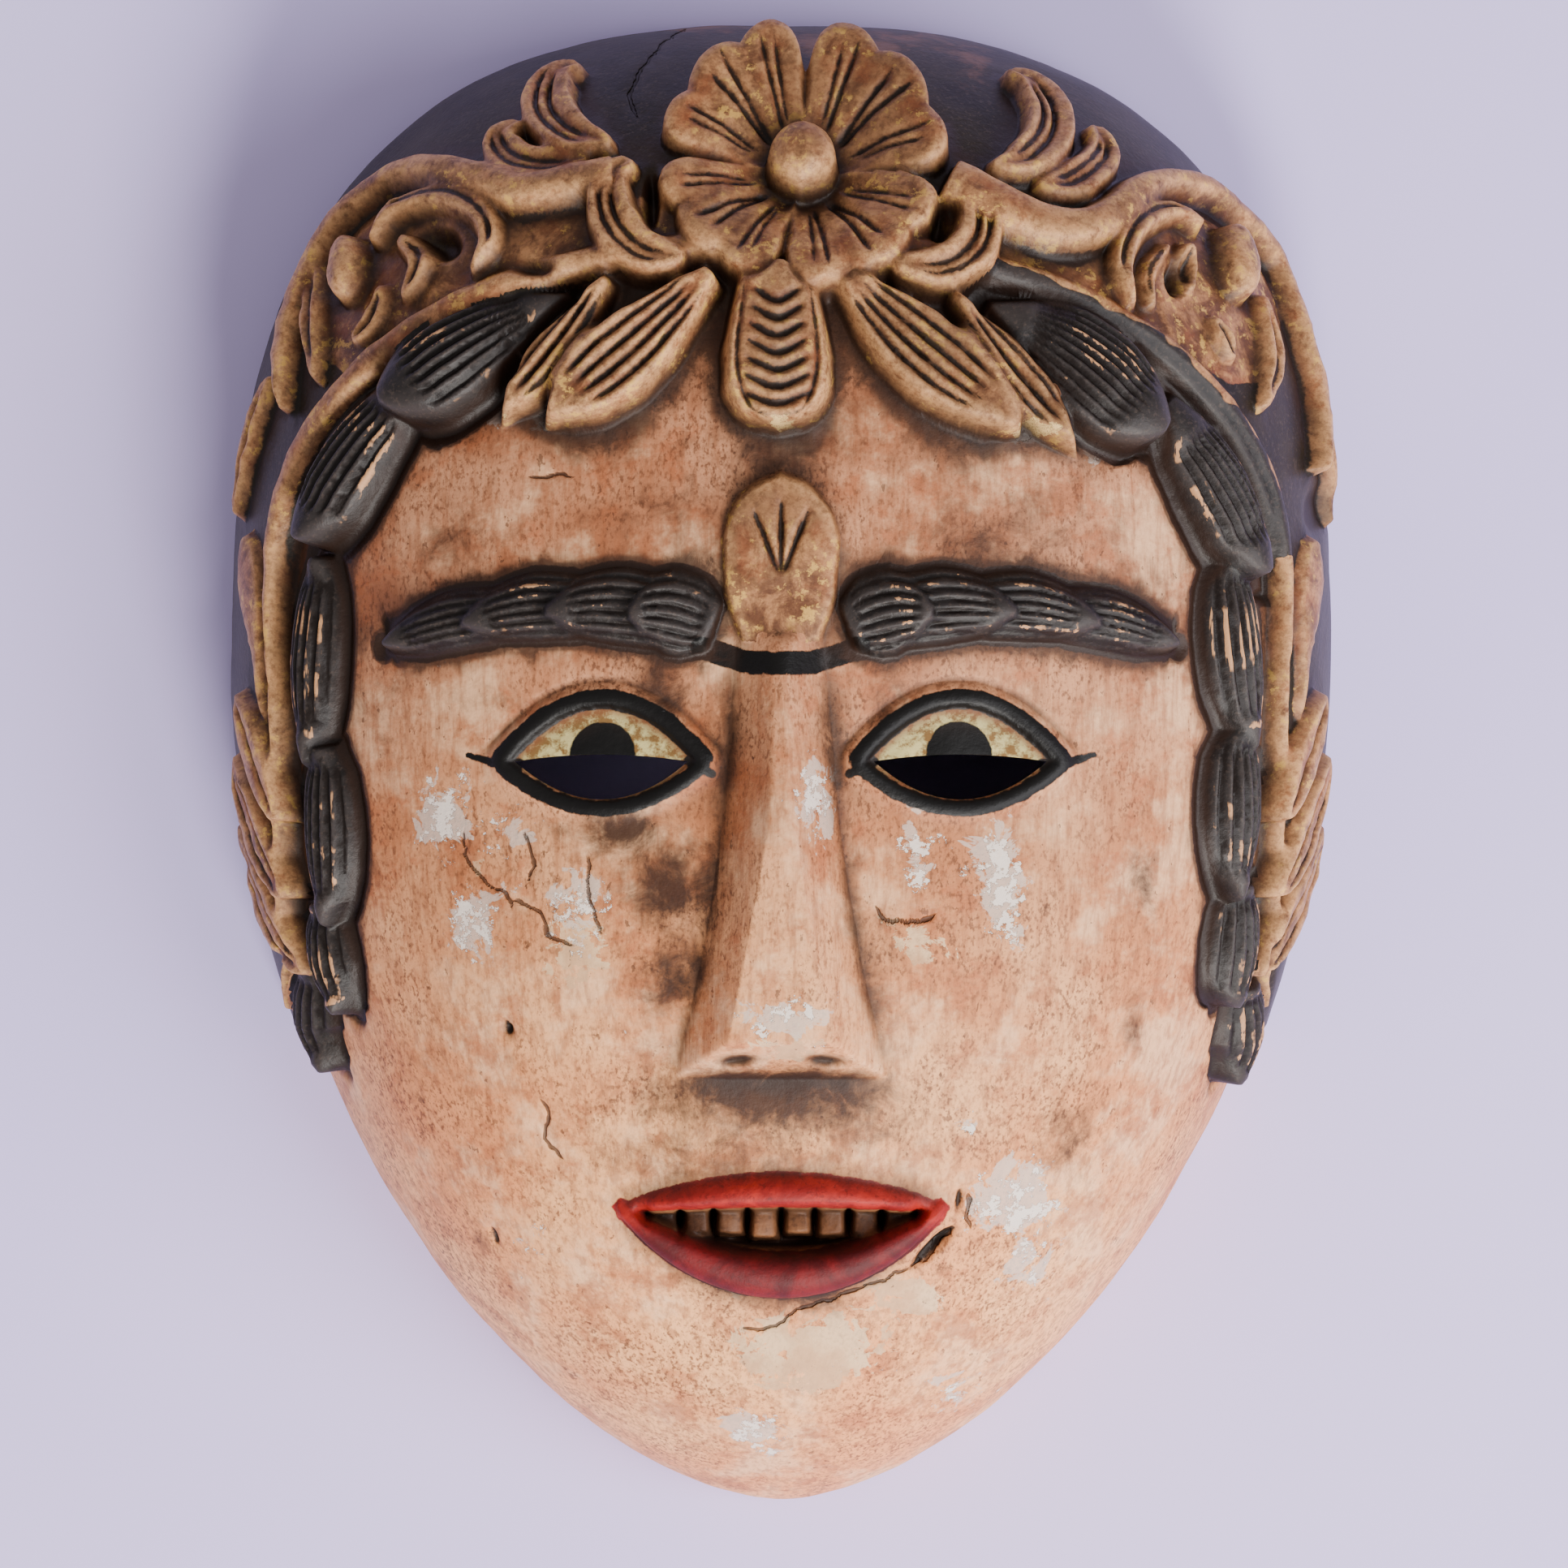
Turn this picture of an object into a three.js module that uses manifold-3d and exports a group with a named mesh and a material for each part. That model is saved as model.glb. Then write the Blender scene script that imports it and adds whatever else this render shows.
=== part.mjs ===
// A carved and painted wooden face mask, hollow behind, lying face up on its back rim.
// Millimetres. X runs across the face, Y from chin to crown, Z out of the face, and Z 0 is the rim.
// The whole mask is one piece of wood: a shell, a raised cap, and relief that grows out of both.
import * as THREE from "three";
import { mergeVertices } from "three/addons/utils/BufferGeometryUtils.js";
import Module from "manifold-3d";

const wasm = await Module();
wasm.setup();

// The shell, as an egg cut in half: its outline seen from the front and its profile seen from the side.
const CHIN_Y = -100;
const CROWN_Y = 97.8;
const WIDEST_Y = 15;
const HALF_WIDTH = 72.3;
const FULLEST_Y = 20;
const DEPTH = 60;
const SECTION_POWER = 2.4;
const OUTLINE = { crownPower: 2.6, crownRoot: 1 / 2.6, chinPower: 2, chinRoot: 0.6 };
const PROFILE = { crownPower: 2.6, crownRoot: 1 / 2.2, chinPower: 2.4, chinRoot: 0.55 };
const CAP_LIFT = 2.2;
const WALL = 10;
const RIM_TRIM = 5;
const SIDES = [-1, 1];

// The arch that the cap leaves open for the face.
const OPENING = { halfWidth: 64.5, shoulderY: 15, rise: 48.5, power: 2.4, footY: -42, footTuck: 2 };

// The ridge along the arch, broad over the brow and thin down the sides: u is 0 at its top, 1 at its feet.
const BAND = {
  footU: 0.93,
  lift: 1.6,
  brow: { untilU: 0.42, out: 2, halfWidth: 2.1 },
  side: { fromU: 0.66, out: 0.4, halfWidth: 1.2 },
};

// The features of the face, on even proportions: five eyes wide, eyes at mid height.
const EYE = { x: 23, y: 0, halfWidth: 12, upper: 7, lower: 5, lidWidth: 1.5, lidLift: 1.3 };
const EYE_SLIT = { halfWidth: 10, top: 0.8, bottom: -4.4 };
const BROW = { innerX: 8.5, outerX: 50, y: 15, arch: 5, locks: 4, lift: 3, halfWidth: 5.2 };
const NOSE = { topY: 16, baseY: -41, bridge: 5.6, wing: 12.6, rootLift: 3, tipLift: 13.5 };
const MOUTH = { y: -60, halfWidth: 20, upper: 2.4, lower: 4, recess: 8, curl: 1.6 };
const LIP = { upper: 2.6, lower: 3.3, lift: 3.4 };
const TEETH = { count: 8, height: 4, depth: 4 };

// The chain of locks down each side of the face: where each starts and ends, and how far it turns in.
const CHAIN = [
  { from: 27, to: -1, tuck: 0 },
  { from: 2, to: -21, tuck: 1.2 },
  { from: -18, to: -34, tuck: 2 },
];
const CHAIN_INSET = 2.6;
const CHAIN_HALF_WIDTH = 4;
const CHAIN_LIFT = 4.8;

// The flower at the crown, on a plate that leans back from the forehead.
const FLOWER = { x: 2.7, y: 77.7, z: 49.4, radius: 19, lean: 30, cup: 3.2, ball: 4.4, thickness: 13 };
const PETALS = [
  { from: -8, to: 88 },
  { from: 88, to: 177 },
  { from: 177, to: 260 },
  { from: 260, to: 352 },
];
const LOBES = 3;
const STEPS_PER_LOBE = 3;

const rad = THREE.MathUtils.degToRad;
const lerp = THREE.MathUtils.lerp;
const v3 = (x, y, z) => new THREE.Vector3(x, y, z);

// Half the width and the height of the shell's cross-section at y, on a shell grown by some extra.
function halfWidthAt(y, extra) {
  const crown = y > WIDEST_Y;
  const reach = crown ? CROWN_Y - WIDEST_Y : WIDEST_Y - CHIN_Y;
  const t = Math.min(1, Math.abs(y - WIDEST_Y) / (reach + extra));
  const { crownPower, crownRoot, chinPower, chinRoot } = OUTLINE;
  const share = crown ? (1 - t ** crownPower) ** crownRoot : (1 - t ** chinPower) ** chinRoot;
  return (HALF_WIDTH + extra) * share;
}

function heightAt(y, extra) {
  const crown = y > FULLEST_Y;
  const reach = crown ? CROWN_Y - FULLEST_Y : FULLEST_Y - CHIN_Y;
  const t = Math.min(1, Math.abs(y - FULLEST_Y) / (reach + extra));
  const { crownPower, crownRoot, chinPower, chinRoot } = PROFILE;
  const share = crown ? (1 - t ** crownPower) ** crownRoot : (1 - t ** chinPower) ** chinRoot;
  return (DEPTH + extra) * share;
}

// A shell surface: points on it by x and y, or by y and z, its normal, and the nearest place on it.
function shell(extra) {
  const size = (p) => {
    const w = Math.max(halfWidthAt(p.y, extra), 1e-3);
    const h = Math.max(heightAt(p.y, extra), 1e-3);
    const sum = (Math.abs(p.x) / w) ** SECTION_POWER + (Math.max(p.z, 0) / h) ** SECTION_POWER;
    return sum ** (1 / SECTION_POWER);
  };
  const slope = (p) => {
    const e = 0.05;
    return v3(
      size(v3(p.x + e, p.y, p.z)) - size(v3(p.x - e, p.y, p.z)),
      size(v3(p.x, p.y + e, p.z)) - size(v3(p.x, p.y - e, p.z)),
      size(v3(p.x, p.y, p.z + e)) - size(v3(p.x, p.y, p.z - e)),
    ).divideScalar(2 * e);
  };
  const normal = (p) => slope(p).normalize();
  const settle = (p) => {
    const q = p.clone();
    for (let turn = 0; turn < 3; turn++) {
      const g = slope(q);
      q.addScaledVector(g, (1 - size(q)) / g.lengthSq());
    }
    return q;
  };
  const share = (part, whole) =>
    Math.max(0, 1 - (Math.abs(part) / whole) ** SECTION_POWER) ** (1 / SECTION_POWER);
  const front = (x, y) => v3(x, y, heightAt(y, extra) * share(x, halfWidthAt(y, extra)));
  const side = (sign, y, z) => v3(sign * halfWidthAt(y, extra) * share(z, heightAt(y, extra)), y, z);
  return { extra, normal, settle, front, side };
}

const FACE = shell(0);
const CAP = shell(CAP_LIFT);

// A closed solid from triangles, and from rings of points that are skinned one after another.
function solidOf(geometry) {
  const bare = new THREE.BufferGeometry();
  bare.setAttribute("position", geometry.getAttribute("position"));
  bare.setIndex(geometry.index);
  const merged = mergeVertices(bare, 1e-3);
  const corners = merged.index.array;
  const kept = [];
  for (let i = 0; i < corners.length; i += 3) {
    const [a, b, c] = corners.slice(i, i + 3);
    if (a !== b && b !== c && c !== a) kept.push(a, b, c);
  }
  const triVerts = new Uint32Array(kept);
  const vertProperties = merged.attributes.position.array;
  return new wasm.Manifold(new wasm.Mesh({ numProp: 3, vertProperties, triVerts }));
}

function skin(rings) {
  const count = rings[0].length;
  const last = (rings.length - 1) * count;
  const index = [];
  for (let r = 0; r < rings.length - 1; r++)
    for (let k = 0; k < count; k++) {
      const a = r * count + k;
      const b = r * count + ((k + 1) % count);
      index.push(a, b, b + count, a, b + count, a + count);
    }
  for (let k = 1; k < count - 1; k++) index.push(0, k + 1, k, last, last + k, last + k + 1);
  const geometry = new THREE.BufferGeometry();
  geometry.setAttribute("position", new THREE.Float32BufferAttribute(rings.flat().flatMap((p) => p.toArray()), 3));
  geometry.setIndex(index);
  return solidOf(geometry);
}

const unite = (solids) => solids.reduce((whole, one) => whole.add(one));

// Half an egg with a flat back at Z 0. Each ring is one arch from rim to rim.
function eggSolid(extra, rows, columns, form = () => 0) {
  const rings = [];
  for (let i = 0; i <= rows; i++) {
    const turn = Math.sin(lerp(-Math.PI / 2, Math.PI / 2, i / rows));
    const y = turn > 0 ? WIDEST_Y + turn * (CROWN_Y - WIDEST_Y + extra) : WIDEST_Y + turn * (WIDEST_Y - CHIN_Y + extra);
    const w = Math.max(halfWidthAt(y, extra), 1e-4);
    const h = Math.max(heightAt(y, extra), 1e-4);
    const ring = [];
    for (let j = 0; j <= columns; j++) {
      const angle = lerp(-Math.PI / 2, Math.PI / 2, j / columns);
      const [s, c] = [Math.sin(angle), Math.max(0, Math.cos(angle))];
      const reach = ((Math.abs(s) / w) ** SECTION_POWER + (c / h) ** SECTION_POWER) ** (-1 / SECTION_POWER);
      const rim = j === 0 || j === columns;
      const x = reach * s;
      ring.push(v3(x, y, rim ? 0 : reach * c + form(x, y)));
    }
    rings.push(ring);
  }
  return skin(rings);
}

// A run of relief: it follows a path on a shell, with its own half width and lift along and across.
// s runs from 0 to 1 along the path, and t from -1 to 1 across it.
function carve(on, points, { width, lift, steps = 4, across = 3, sink = 1.6 }) {
  const path = new THREE.CatmullRomCurve3(points, false, "centripetal");
  const rings = [];
  for (let i = 0; i <= steps; i++) {
    const s = i / steps;
    const centre = on.settle(path.getPoint(s));
    const along = path.getTangent(s);
    const sideways = on.normal(centre).cross(along).normalize();
    const reach = Math.max(width(s), 0.25);
    const top = [];
    const foot = [];
    for (let j = 0; j <= across; j++) {
      const t = lerp(1, -1, j / across);
      const base = on.settle(centre.clone().addScaledVector(sideways, reach * t));
      const normal = on.normal(base);
      top.push(base.clone().addScaledVector(normal, lift(s, t)));
      if (j === 0 || j === across) foot.push(base.clone().addScaledVector(normal, -sink));
    }
    rings.push([...top, foot[1], foot[0]]);
  }
  return skin(rings);
}

// Profiles across and along a leaf or lock.
const round = (t, edge = 0.25) => edge + (1 - edge) * Math.sqrt(Math.max(0, 1 - t * t));
const hump = (s, power = 1) => Math.sin(Math.PI * Math.min(1, Math.max(0, s))) ** power;

// A lock of hair: thin where it starts, widest and highest near its round end.
function lock(on, points, halfWidth, height, steps = 3) {
  return carve(on, points, {
    width: (s) => halfWidth * Math.min(1, 0.4 + 1.3 * s) * Math.sqrt(Math.max(0, 1 - s ** 7)),
    lift: (s, t) => height * (0.55 + 0.45 * s) * round(t, 0.35) * (s > 0.99 ? 0.6 : 1),
    steps,
  });
}

// A leaf with a hollow down its middle, pointed at its far end.
function leaf(on, points, halfWidth, height, steps = 4) {
  return carve(on, points, {
    width: (s) => halfWidth * (0.35 + 0.65 * hump(0.2 + 0.75 * s)) * (s > 0.99 ? 0.3 : 1),
    lift: (s, t) => height * (0.6 + 0.4 * hump(s)) * (Math.abs(t) > 0.5 ? 1 : 0.5),
    steps,
    across: 2,
  });
}

// A round-backed stem whose half width changes along it.
function stem(on, points, widths, height, steps) {
  const at = (s) => {
    const place = s * (widths.length - 1);
    const i = Math.min(widths.length - 2, Math.floor(place));
    return lerp(widths[i], widths[i + 1], place - i);
  };
  return carve(on, points, { width: at, lift: (s, t) => height * round(t, 0.3), steps, across: 2 });
}

// Half the width of the face opening at y, and a point of its edge: u 0 is the top, 1 the foot.
function openingHalfWidth(y) {
  const { halfWidth, shoulderY, rise, power, footY, footTuck } = OPENING;
  if (y < shoulderY) return halfWidth - footTuck * ((shoulderY - y) / (shoulderY - footY)) ** 2;
  return halfWidth * Math.max(0, 1 - ((y - shoulderY) / rise) ** power) ** (1 / power);
}

function openingPoint(u, grow) {
  const { halfWidth, shoulderY, rise, power, footY } = OPENING;
  const archShare = 0.6;
  const sign = Math.sign(u) || 1;
  const far = Math.abs(u);
  if (far > archShare) {
    const y = lerp(shoulderY, footY, (far - archShare) / (1 - archShare));
    return [sign * (openingHalfWidth(y) + grow), y];
  }
  const a = (far / archShare) * (Math.PI / 2);
  const x = (halfWidth + grow) * Math.sin(a) ** (2 / power);
  return [sign * x, shoulderY + (rise + grow) * Math.cos(a) ** (2 / power)];
}

// The cap: a shell a little larger than the face's, open where the face shows and below the hair.
function capSolid() {
  const outline = new THREE.Shape();
  const steps = 18;
  const below = CHIN_Y - 20;
  const beyond = HALF_WIDTH + 20;
  const [footX, footY] = openingPoint(1, 0);
  outline.moveTo(-beyond, below);
  outline.lineTo(beyond, below);
  outline.lineTo(beyond, footY);
  outline.lineTo(footX, footY);
  for (let i = 1; i <= steps; i++) outline.lineTo(...openingPoint(lerp(1, -1, i / steps), 0));
  outline.lineTo(-beyond, footY);
  const cutter = new THREE.ExtrudeGeometry(outline, { depth: DEPTH * 2, bevelEnabled: false });
  cutter.translate(0, 0, -DEPTH / 2);
  return eggSolid(CAP_LIFT, 16, 16).subtract(solidOf(cutter));
}

// The plain ridge that edges the cap round the face.
function bandSolid() {
  const count = 13;
  const { footU, brow, side } = BAND;
  const broad = (u) => 1 - THREE.MathUtils.smoothstep(Math.abs(u), brow.untilU, side.fromU);
  const points = [];
  for (let i = 0; i <= count; i++) {
    const u = lerp(-footU, footU, i / count);
    points.push(CAP.front(...openingPoint(u, lerp(side.out, brow.out, broad(u)))));
  }
  const width = (s) => lerp(side.halfWidth, brow.halfWidth, broad(lerp(-footU, footU, s)));
  return carve(CAP, points, { width, lift: (s, t) => BAND.lift * round(t, 0.3), steps: 20, across: 2 });
}

// The hair: two large locks at the brow of the cap, then a chain of locks down each side.
function hairLocks(sign) {
  const at = (x, y) => FACE.front(sign * x, y);
  const locks = [
    lock(FACE, [at(25, 59), at(38, 52.5), at(48.5, 40.5)], 6.4, 5.6, 4),
    lock(FACE, [at(47, 47), at(55.5, 37), at(60.3, 23)], 5.4, 5.4, 4),
  ];
  for (const { from, to, tuck } of CHAIN) {
    const places = [0, 0.5, 1].map((share) => {
      const y = lerp(from, to, share);
      return at(openingHalfWidth(y) - CHAIN_INSET - tuck * share, y);
    });
    locks.push(lock(FACE, places, CHAIN_HALF_WIDTH, CHAIN_LIFT, 4));
  }
  return locks;
}

// The curl of hair that turns back over the edge of the mask at the foot of the side locks.
function tuft(sign) {
  const points = [FACE.front(sign * 62, -26), FACE.front(sign * 63.2, -34), FACE.front(sign * 60.5, -43.5)];
  return [lock(FACE, points, 4.4, 4)];
}

// A leaf that widens to a broad end, with a rim higher than its middle.
function broadLeaf(on, points, halfWidth, height) {
  return carve(on, points, {
    width: (s) => halfWidth * Math.min(1, 0.35 + 0.95 * s) * Math.sqrt(Math.max(0.12, 1 - s ** 7)),
    lift: (s, t) => height * (0.7 + 0.3 * s) * (Math.abs(t) > 0.5 ? 1 : 0.6),
    steps: 5,
    across: 2,
  });
}

// The leaves that hang over the forehead, and the ridged tongue between them.
function foreheadLeaves(sign) {
  const at = (x, y) => CAP.front(sign * x, y);
  return [
    broadLeaf(CAP, [at(9, 62), at(17.5, 52.5), at(29, 42.5)], 5.8, 3),
    broadLeaf(CAP, [at(21, 60), at(29, 50.5), at(37.5, 41.5)], 3.6, 2.6),
  ];
}

function tongue() {
  const points = [CAP.front(0, 63), CAP.front(0, 52), CAP.front(0, 42)];
  return carve(CAP, points, {
    width: (s) => 7 * (0.75 + 0.25 * s) * Math.sqrt(Math.max(0.1, 1 - s ** 9)),
    lift: (s, t) => 3.4 * round(t, 0.45) + (Math.abs(t) < 0.6 ? 0.5 * Math.cos(s * 6 * 2 * Math.PI) : 0),
    steps: 12,
  });
}

// The scrolls that fill the cap on each side of the flower.
function scrollwork(sign) {
  const at = (x, y) => CAP.front(sign * x, y);
  const bySide = (y, z) => CAP.side(sign, y, z);
  const sCurve = [at(20, 73.5), at(30, 68.3), at(36.5, 67), at(41.5, 69.3), at(46.5, 73), at(52.5, 72), at(57.6, 67.5)];
  return [
    stem(CAP, sCurve, [3.4, 3.8, 3.6, 2.4, 2.2, 1.8], 3, 9),
    leaf(CAP, [at(27, 87.4), at(32.8, 82.4), at(32, 76.6), at(26, 74.2)], 4, 3, 5),
    leaf(CAP, [at(37.5, 80.6), at(40.8, 76.8), at(38.2, 73), at(32.5, 72)], 3.1, 2.6, 5),
    leaf(CAP, [at(24, 75), at(26, 67.6), at(22.6, 61.6), at(14.5, 61)], 3.6, 3, 5),
    stem(CAP, [at(44.5, 59.5), at(43.6, 65), at(47, 69.2), at(52.4, 67.8)], [1.2, 2.4, 2.4, 1.4], 2.8, 4),
    stem(CAP, [at(48.6, 59.4), at(50.5, 64.6)], [1.2, 1.9], 2.4, 2),
    carve(CAP, [at(55.2, 67), at(57.6, 59)], { width: (s) => 3.1 * hump(0.08 + 0.84 * s, 0.5), lift: (s, t) => 3.6 * round(t), steps: 4 }),
    leaf(CAP, [at(54, 57), at(54.8, 52.5)], 1.9, 2, 3),
    leaf(CAP, [at(60, 58.5), at(61.6, 52.6), at(60.6, 46.6)], 2.6, 2.4, 3),
    stem(CAP, [bySide(70, 27), bySide(60, 25.5), bySide(48, 25), bySide(36, 25)], [1.6, 3, 3.4, 1.2], 2.2, 4),
  ];
}

// The run of leaves down each side of the cap, behind the band.
function sideOrnament(sign) {
  const at = (y, z) => CAP.side(sign, y, z);
  return [
    stem(CAP, [at(29, 27), at(20, 28), at(6, 31)], [2.2, 3.6, 0.9], 2.2, 3),
    leaf(CAP, [at(12, 25), at(3, 27), at(-6, 29.5)], 3.4, 2.4, 3),
    leaf(CAP, [at(3, 20.5), at(-7, 23), at(-17, 27)], 4, 2.8, 3),
    leaf(CAP, [at(-7, 17.5), at(-16, 20), at(-27, 25.5)], 4.2, 2.4, 3),
  ];
}

// The flower: an outline of scalloped petals round a cupped plate, with a ball at its centre.
function flowerSolids() {
  const tilt = new THREE.Matrix4().makeRotationX(-rad(FLOWER.lean));
  const place = tilt.clone().setPosition(FLOWER.x, FLOWER.y, FLOWER.z);
  const spokes = PETALS.flatMap(({ from, to }) => {
    const steps = LOBES * STEPS_PER_LOBE;
    return Array.from({ length: steps }, (_, i) => {
      const share = i / steps;
      const scallop = Math.abs(Math.sin(share * LOBES * Math.PI));
      const notch = i === 0 ? 0.78 : 0.93;
      return { angle: rad(lerp(from, to, share)), reach: FLOWER.radius * lerp(notch, 1, scallop) };
    });
  });
  const ring = (share, lift) =>
    spokes.map(({ angle, reach }) => {
      const r = reach * share;
      return v3(r * Math.cos(angle), r * Math.sin(angle), lift).applyMatrix4(place);
    });
  const foot = ring(0.96, 0).map((p) => p.add(v3(0, -0.35, -1).multiplyScalar(FLOWER.thickness)));
  const disc = skin([foot, ring(0.98, -0.2), ring(0.9, 1), ring(0.55, -0.4), ring(0.3, -FLOWER.cup)]);
  const ball = new THREE.SphereGeometry(FLOWER.ball, 8, 6);
  ball.applyMatrix4(place);
  return [disc, solidOf(ball)];
}

// The soft modelling of the face: sockets, cheeks, the roots of the nose and the chin.
function faceForm(x, y) {
  const bump = (cx, cy, rx, ry) => Math.exp(-(((Math.abs(x) - cx) / rx) ** 2) - ((y - cy) / ry) ** 2);
  return 1.6 * bump(0, -84, 15, 11) + 1.2 * bump(30, -28, 15, 16) - 1.6 * bump(EYE.x, EYE.y + 3, 14, 9);
}

function noseSolid() {
  const points = [FACE.front(0, NOSE.topY), FACE.front(0, (NOSE.topY + NOSE.baseY) / 2), FACE.front(0, NOSE.baseY)];
  return carve(FACE, points, {
    width: (s) => lerp(NOSE.bridge, NOSE.wing, s ** 2),
    lift: (s, t) => lerp(NOSE.rootLift, NOSE.tipLift, s) * (1 - Math.abs(t) ** 1.4) + 0.3 + 1.6 * s,
    steps: 6,
    across: 6,
    sink: 3,
  });
}

// A locks-of-hair brow on each side, and the small leaf between the brows.
function browSolids(sign) {
  const line = (share) => {
    const y = BROW.y + BROW.arch * Math.sin(Math.PI * (0.15 + 0.75 * share)) - 1.5 * share;
    return FACE.front(sign * lerp(BROW.innerX, BROW.outerX, share), y);
  };
  const parts = [];
  for (let i = 0; i < BROW.locks; i++) {
    const start = Math.max(0, (i - 0.35) / BROW.locks);
    const end = (i + 1) / BROW.locks;
    const taper = lerp(1, 0.62, i / (BROW.locks - 1));
    parts.push(lock(FACE, [line(start), line((start + end) / 2), line(end)], BROW.halfWidth * taper, BROW.lift));
  }
  return parts;
}

function browLeaf() {
  return carve(FACE, [FACE.front(0, 18), FACE.front(0, 36)], {
    width: (s) => 7.4 * (0.72 + 0.28 * hump(s)) * Math.sqrt(Math.max(0.02, 1 - s ** 5)),
    lift: (s, t) => 1.6 * round(t, 0.6),
    steps: 5,
  });
}

// The lids: one low ridge above and one below each eye.
function lidSolids(sign) {
  const at = (share, rise) => FACE.front(sign * (EYE.x + share * EYE.halfWidth), EYE.y + rise * (1 - share * share));
  const lid = (rise) => {
    const points = [-1, -0.6, -0.2, 0.2, 0.6, 1].map((share) => at(share, rise));
    const shape = { width: () => EYE.lidWidth, lift: (s, t) => EYE.lidLift * round(t, 0.3), steps: 5, across: 2 };
    return carve(FACE, points, shape);
  };
  return [lid(EYE.upper), lid(-EYE.lower)];
}

// A lens between two arcs, as a straight prism that cuts or fills along Z.
function lensPrism(x, y, halfWidth, top, bottom, lowZ, highZ) {
  const steps = 6;
  const lens = new THREE.Shape();
  const curve = (share, rise) => [x + share * halfWidth, y + rise * (1 - share * share)];
  lens.moveTo(...curve(-1, 0));
  for (let i = 1; i <= steps; i++) lens.lineTo(...curve(lerp(-1, 1, i / steps), bottom));
  for (let i = 1; i < steps; i++) lens.lineTo(...curve(lerp(1, -1, i / steps), top));
  const prism = new THREE.ExtrudeGeometry(lens, { depth: highZ - lowZ, bevelEnabled: false });
  return solidOf(prism.translate(0, 0, lowZ));
}

function lipSolids() {
  const line = (share, rise) => {
    const y = MOUTH.y + rise * (1 - share * share) + MOUTH.curl * share * share;
    return FACE.front(share * MOUTH.halfWidth, y);
  };
  const lip = (rise, halfWidth) => {
    const points = [-1.06, -0.6, -0.2, 0.2, 0.6, 1.06].map((share) => line(share, rise));
    const shape = {
      width: (s) => halfWidth * (0.25 + 0.75 * hump(s, 0.7)),
      lift: (s, t) => LIP.lift * (0.35 + 0.65 * hump(s, 0.6)) * round(t, 0.2),
      steps: 7,
    };
    return carve(FACE, points, shape);
  };
  return [lip(MOUTH.upper + LIP.upper * 0.8, LIP.upper), lip(-MOUTH.lower - LIP.lower * 0.8, LIP.lower)];
}

function teeth() {
  const parts = [];
  const pitch = (MOUTH.halfWidth * 1.55) / TEETH.count;
  const back = FACE.front(0, MOUTH.y).z - MOUTH.recess;
  for (let i = 0; i < TEETH.count; i++) {
    const x = (i - (TEETH.count - 1) / 2) * pitch;
    const fall = ((x / MOUTH.halfWidth) ** 2) * 2.2;
    const tooth = new THREE.BoxGeometry(pitch * 0.86, TEETH.height, TEETH.depth + 2);
    tooth.translate(x, MOUTH.y + MOUTH.upper - TEETH.height / 2 + 1 - fall * 0.3, back + TEETH.depth / 2 - fall);
    parts.push(solidOf(tooth));
  }
  return parts;
}

function maskSolid() {
  const bothSides = (make) => SIDES.flatMap((sign) => make(sign));
  const relief = [
    bandSolid(),
    ...bothSides(hairLocks),
    ...bothSides(tuft),
    ...bothSides(scrollwork),
    ...bothSides(sideOrnament),
    ...bothSides(foreheadLeaves),
    tongue(),
    ...flowerSolids(),
    noseSolid(),
    ...bothSides(browSolids),
    browLeaf(),
    ...bothSides(lidSolids),
    ...lipSolids(),
  ];
  const block = unite([eggSolid(0, 20, 18, faceForm), capSolid(), ...relief]);
  const hollow = eggSolid(-WALL, 14, 10);
  const mouthFront = FACE.front(0, MOUTH.y).z;
  const { y, halfWidth, upper, lower, recess } = MOUTH;
  const mouth = lensPrism(0, y, halfWidth, upper, -lower, mouthFront - recess, DEPTH * 2);
  const slits = SIDES.map((sign) =>
    lensPrism(sign * EYE.x, EYE.y, EYE_SLIT.halfWidth, EYE_SLIT.top, EYE_SLIT.bottom, -1, DEPTH * 2),
  );
  const floor = new THREE.BoxGeometry(HALF_WIDTH * 3, HALF_WIDTH * 4, RIM_TRIM * 2).translate(0, 0, -RIM_TRIM);
  const cuts = [hollow, mouth, ...slits, solidOf(floor)];
  return unite([cuts.reduce((whole, cut) => whole.subtract(cut), block), ...teeth()]);
}

function meshOf(solid, name, material) {
  const { vertProperties, triVerts, numProp } = solid.getMesh();
  const geometry = new THREE.BufferGeometry();
  geometry.setAttribute("position", new THREE.BufferAttribute(vertProperties, numProp));
  geometry.setIndex(new THREE.BufferAttribute(triVerts, 1));
  geometry.computeVertexNormals();
  const mesh = new THREE.Mesh(geometry, material);
  mesh.name = name;
  return mesh;
}

const paintedWood = new THREE.MeshStandardMaterial({ color: 0xc79a78, roughness: 0.62, metalness: 0 });
const mask = new THREE.Group();
mask.add(meshOf(maskSolid(), "mask", paintedWood));

export default mask;
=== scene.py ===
# A carved and painted wooden mask, lying face up on its flat rim.
# One block of wood: a face inside an arch of carved hair, and a black cap with a gilt flower and scrolls.
# Shaping is done in millimetres on the shell of the block, and the finished piece is brought to metres.
import math

import bpy
import numpy as np
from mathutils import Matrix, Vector, kdtree


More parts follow.
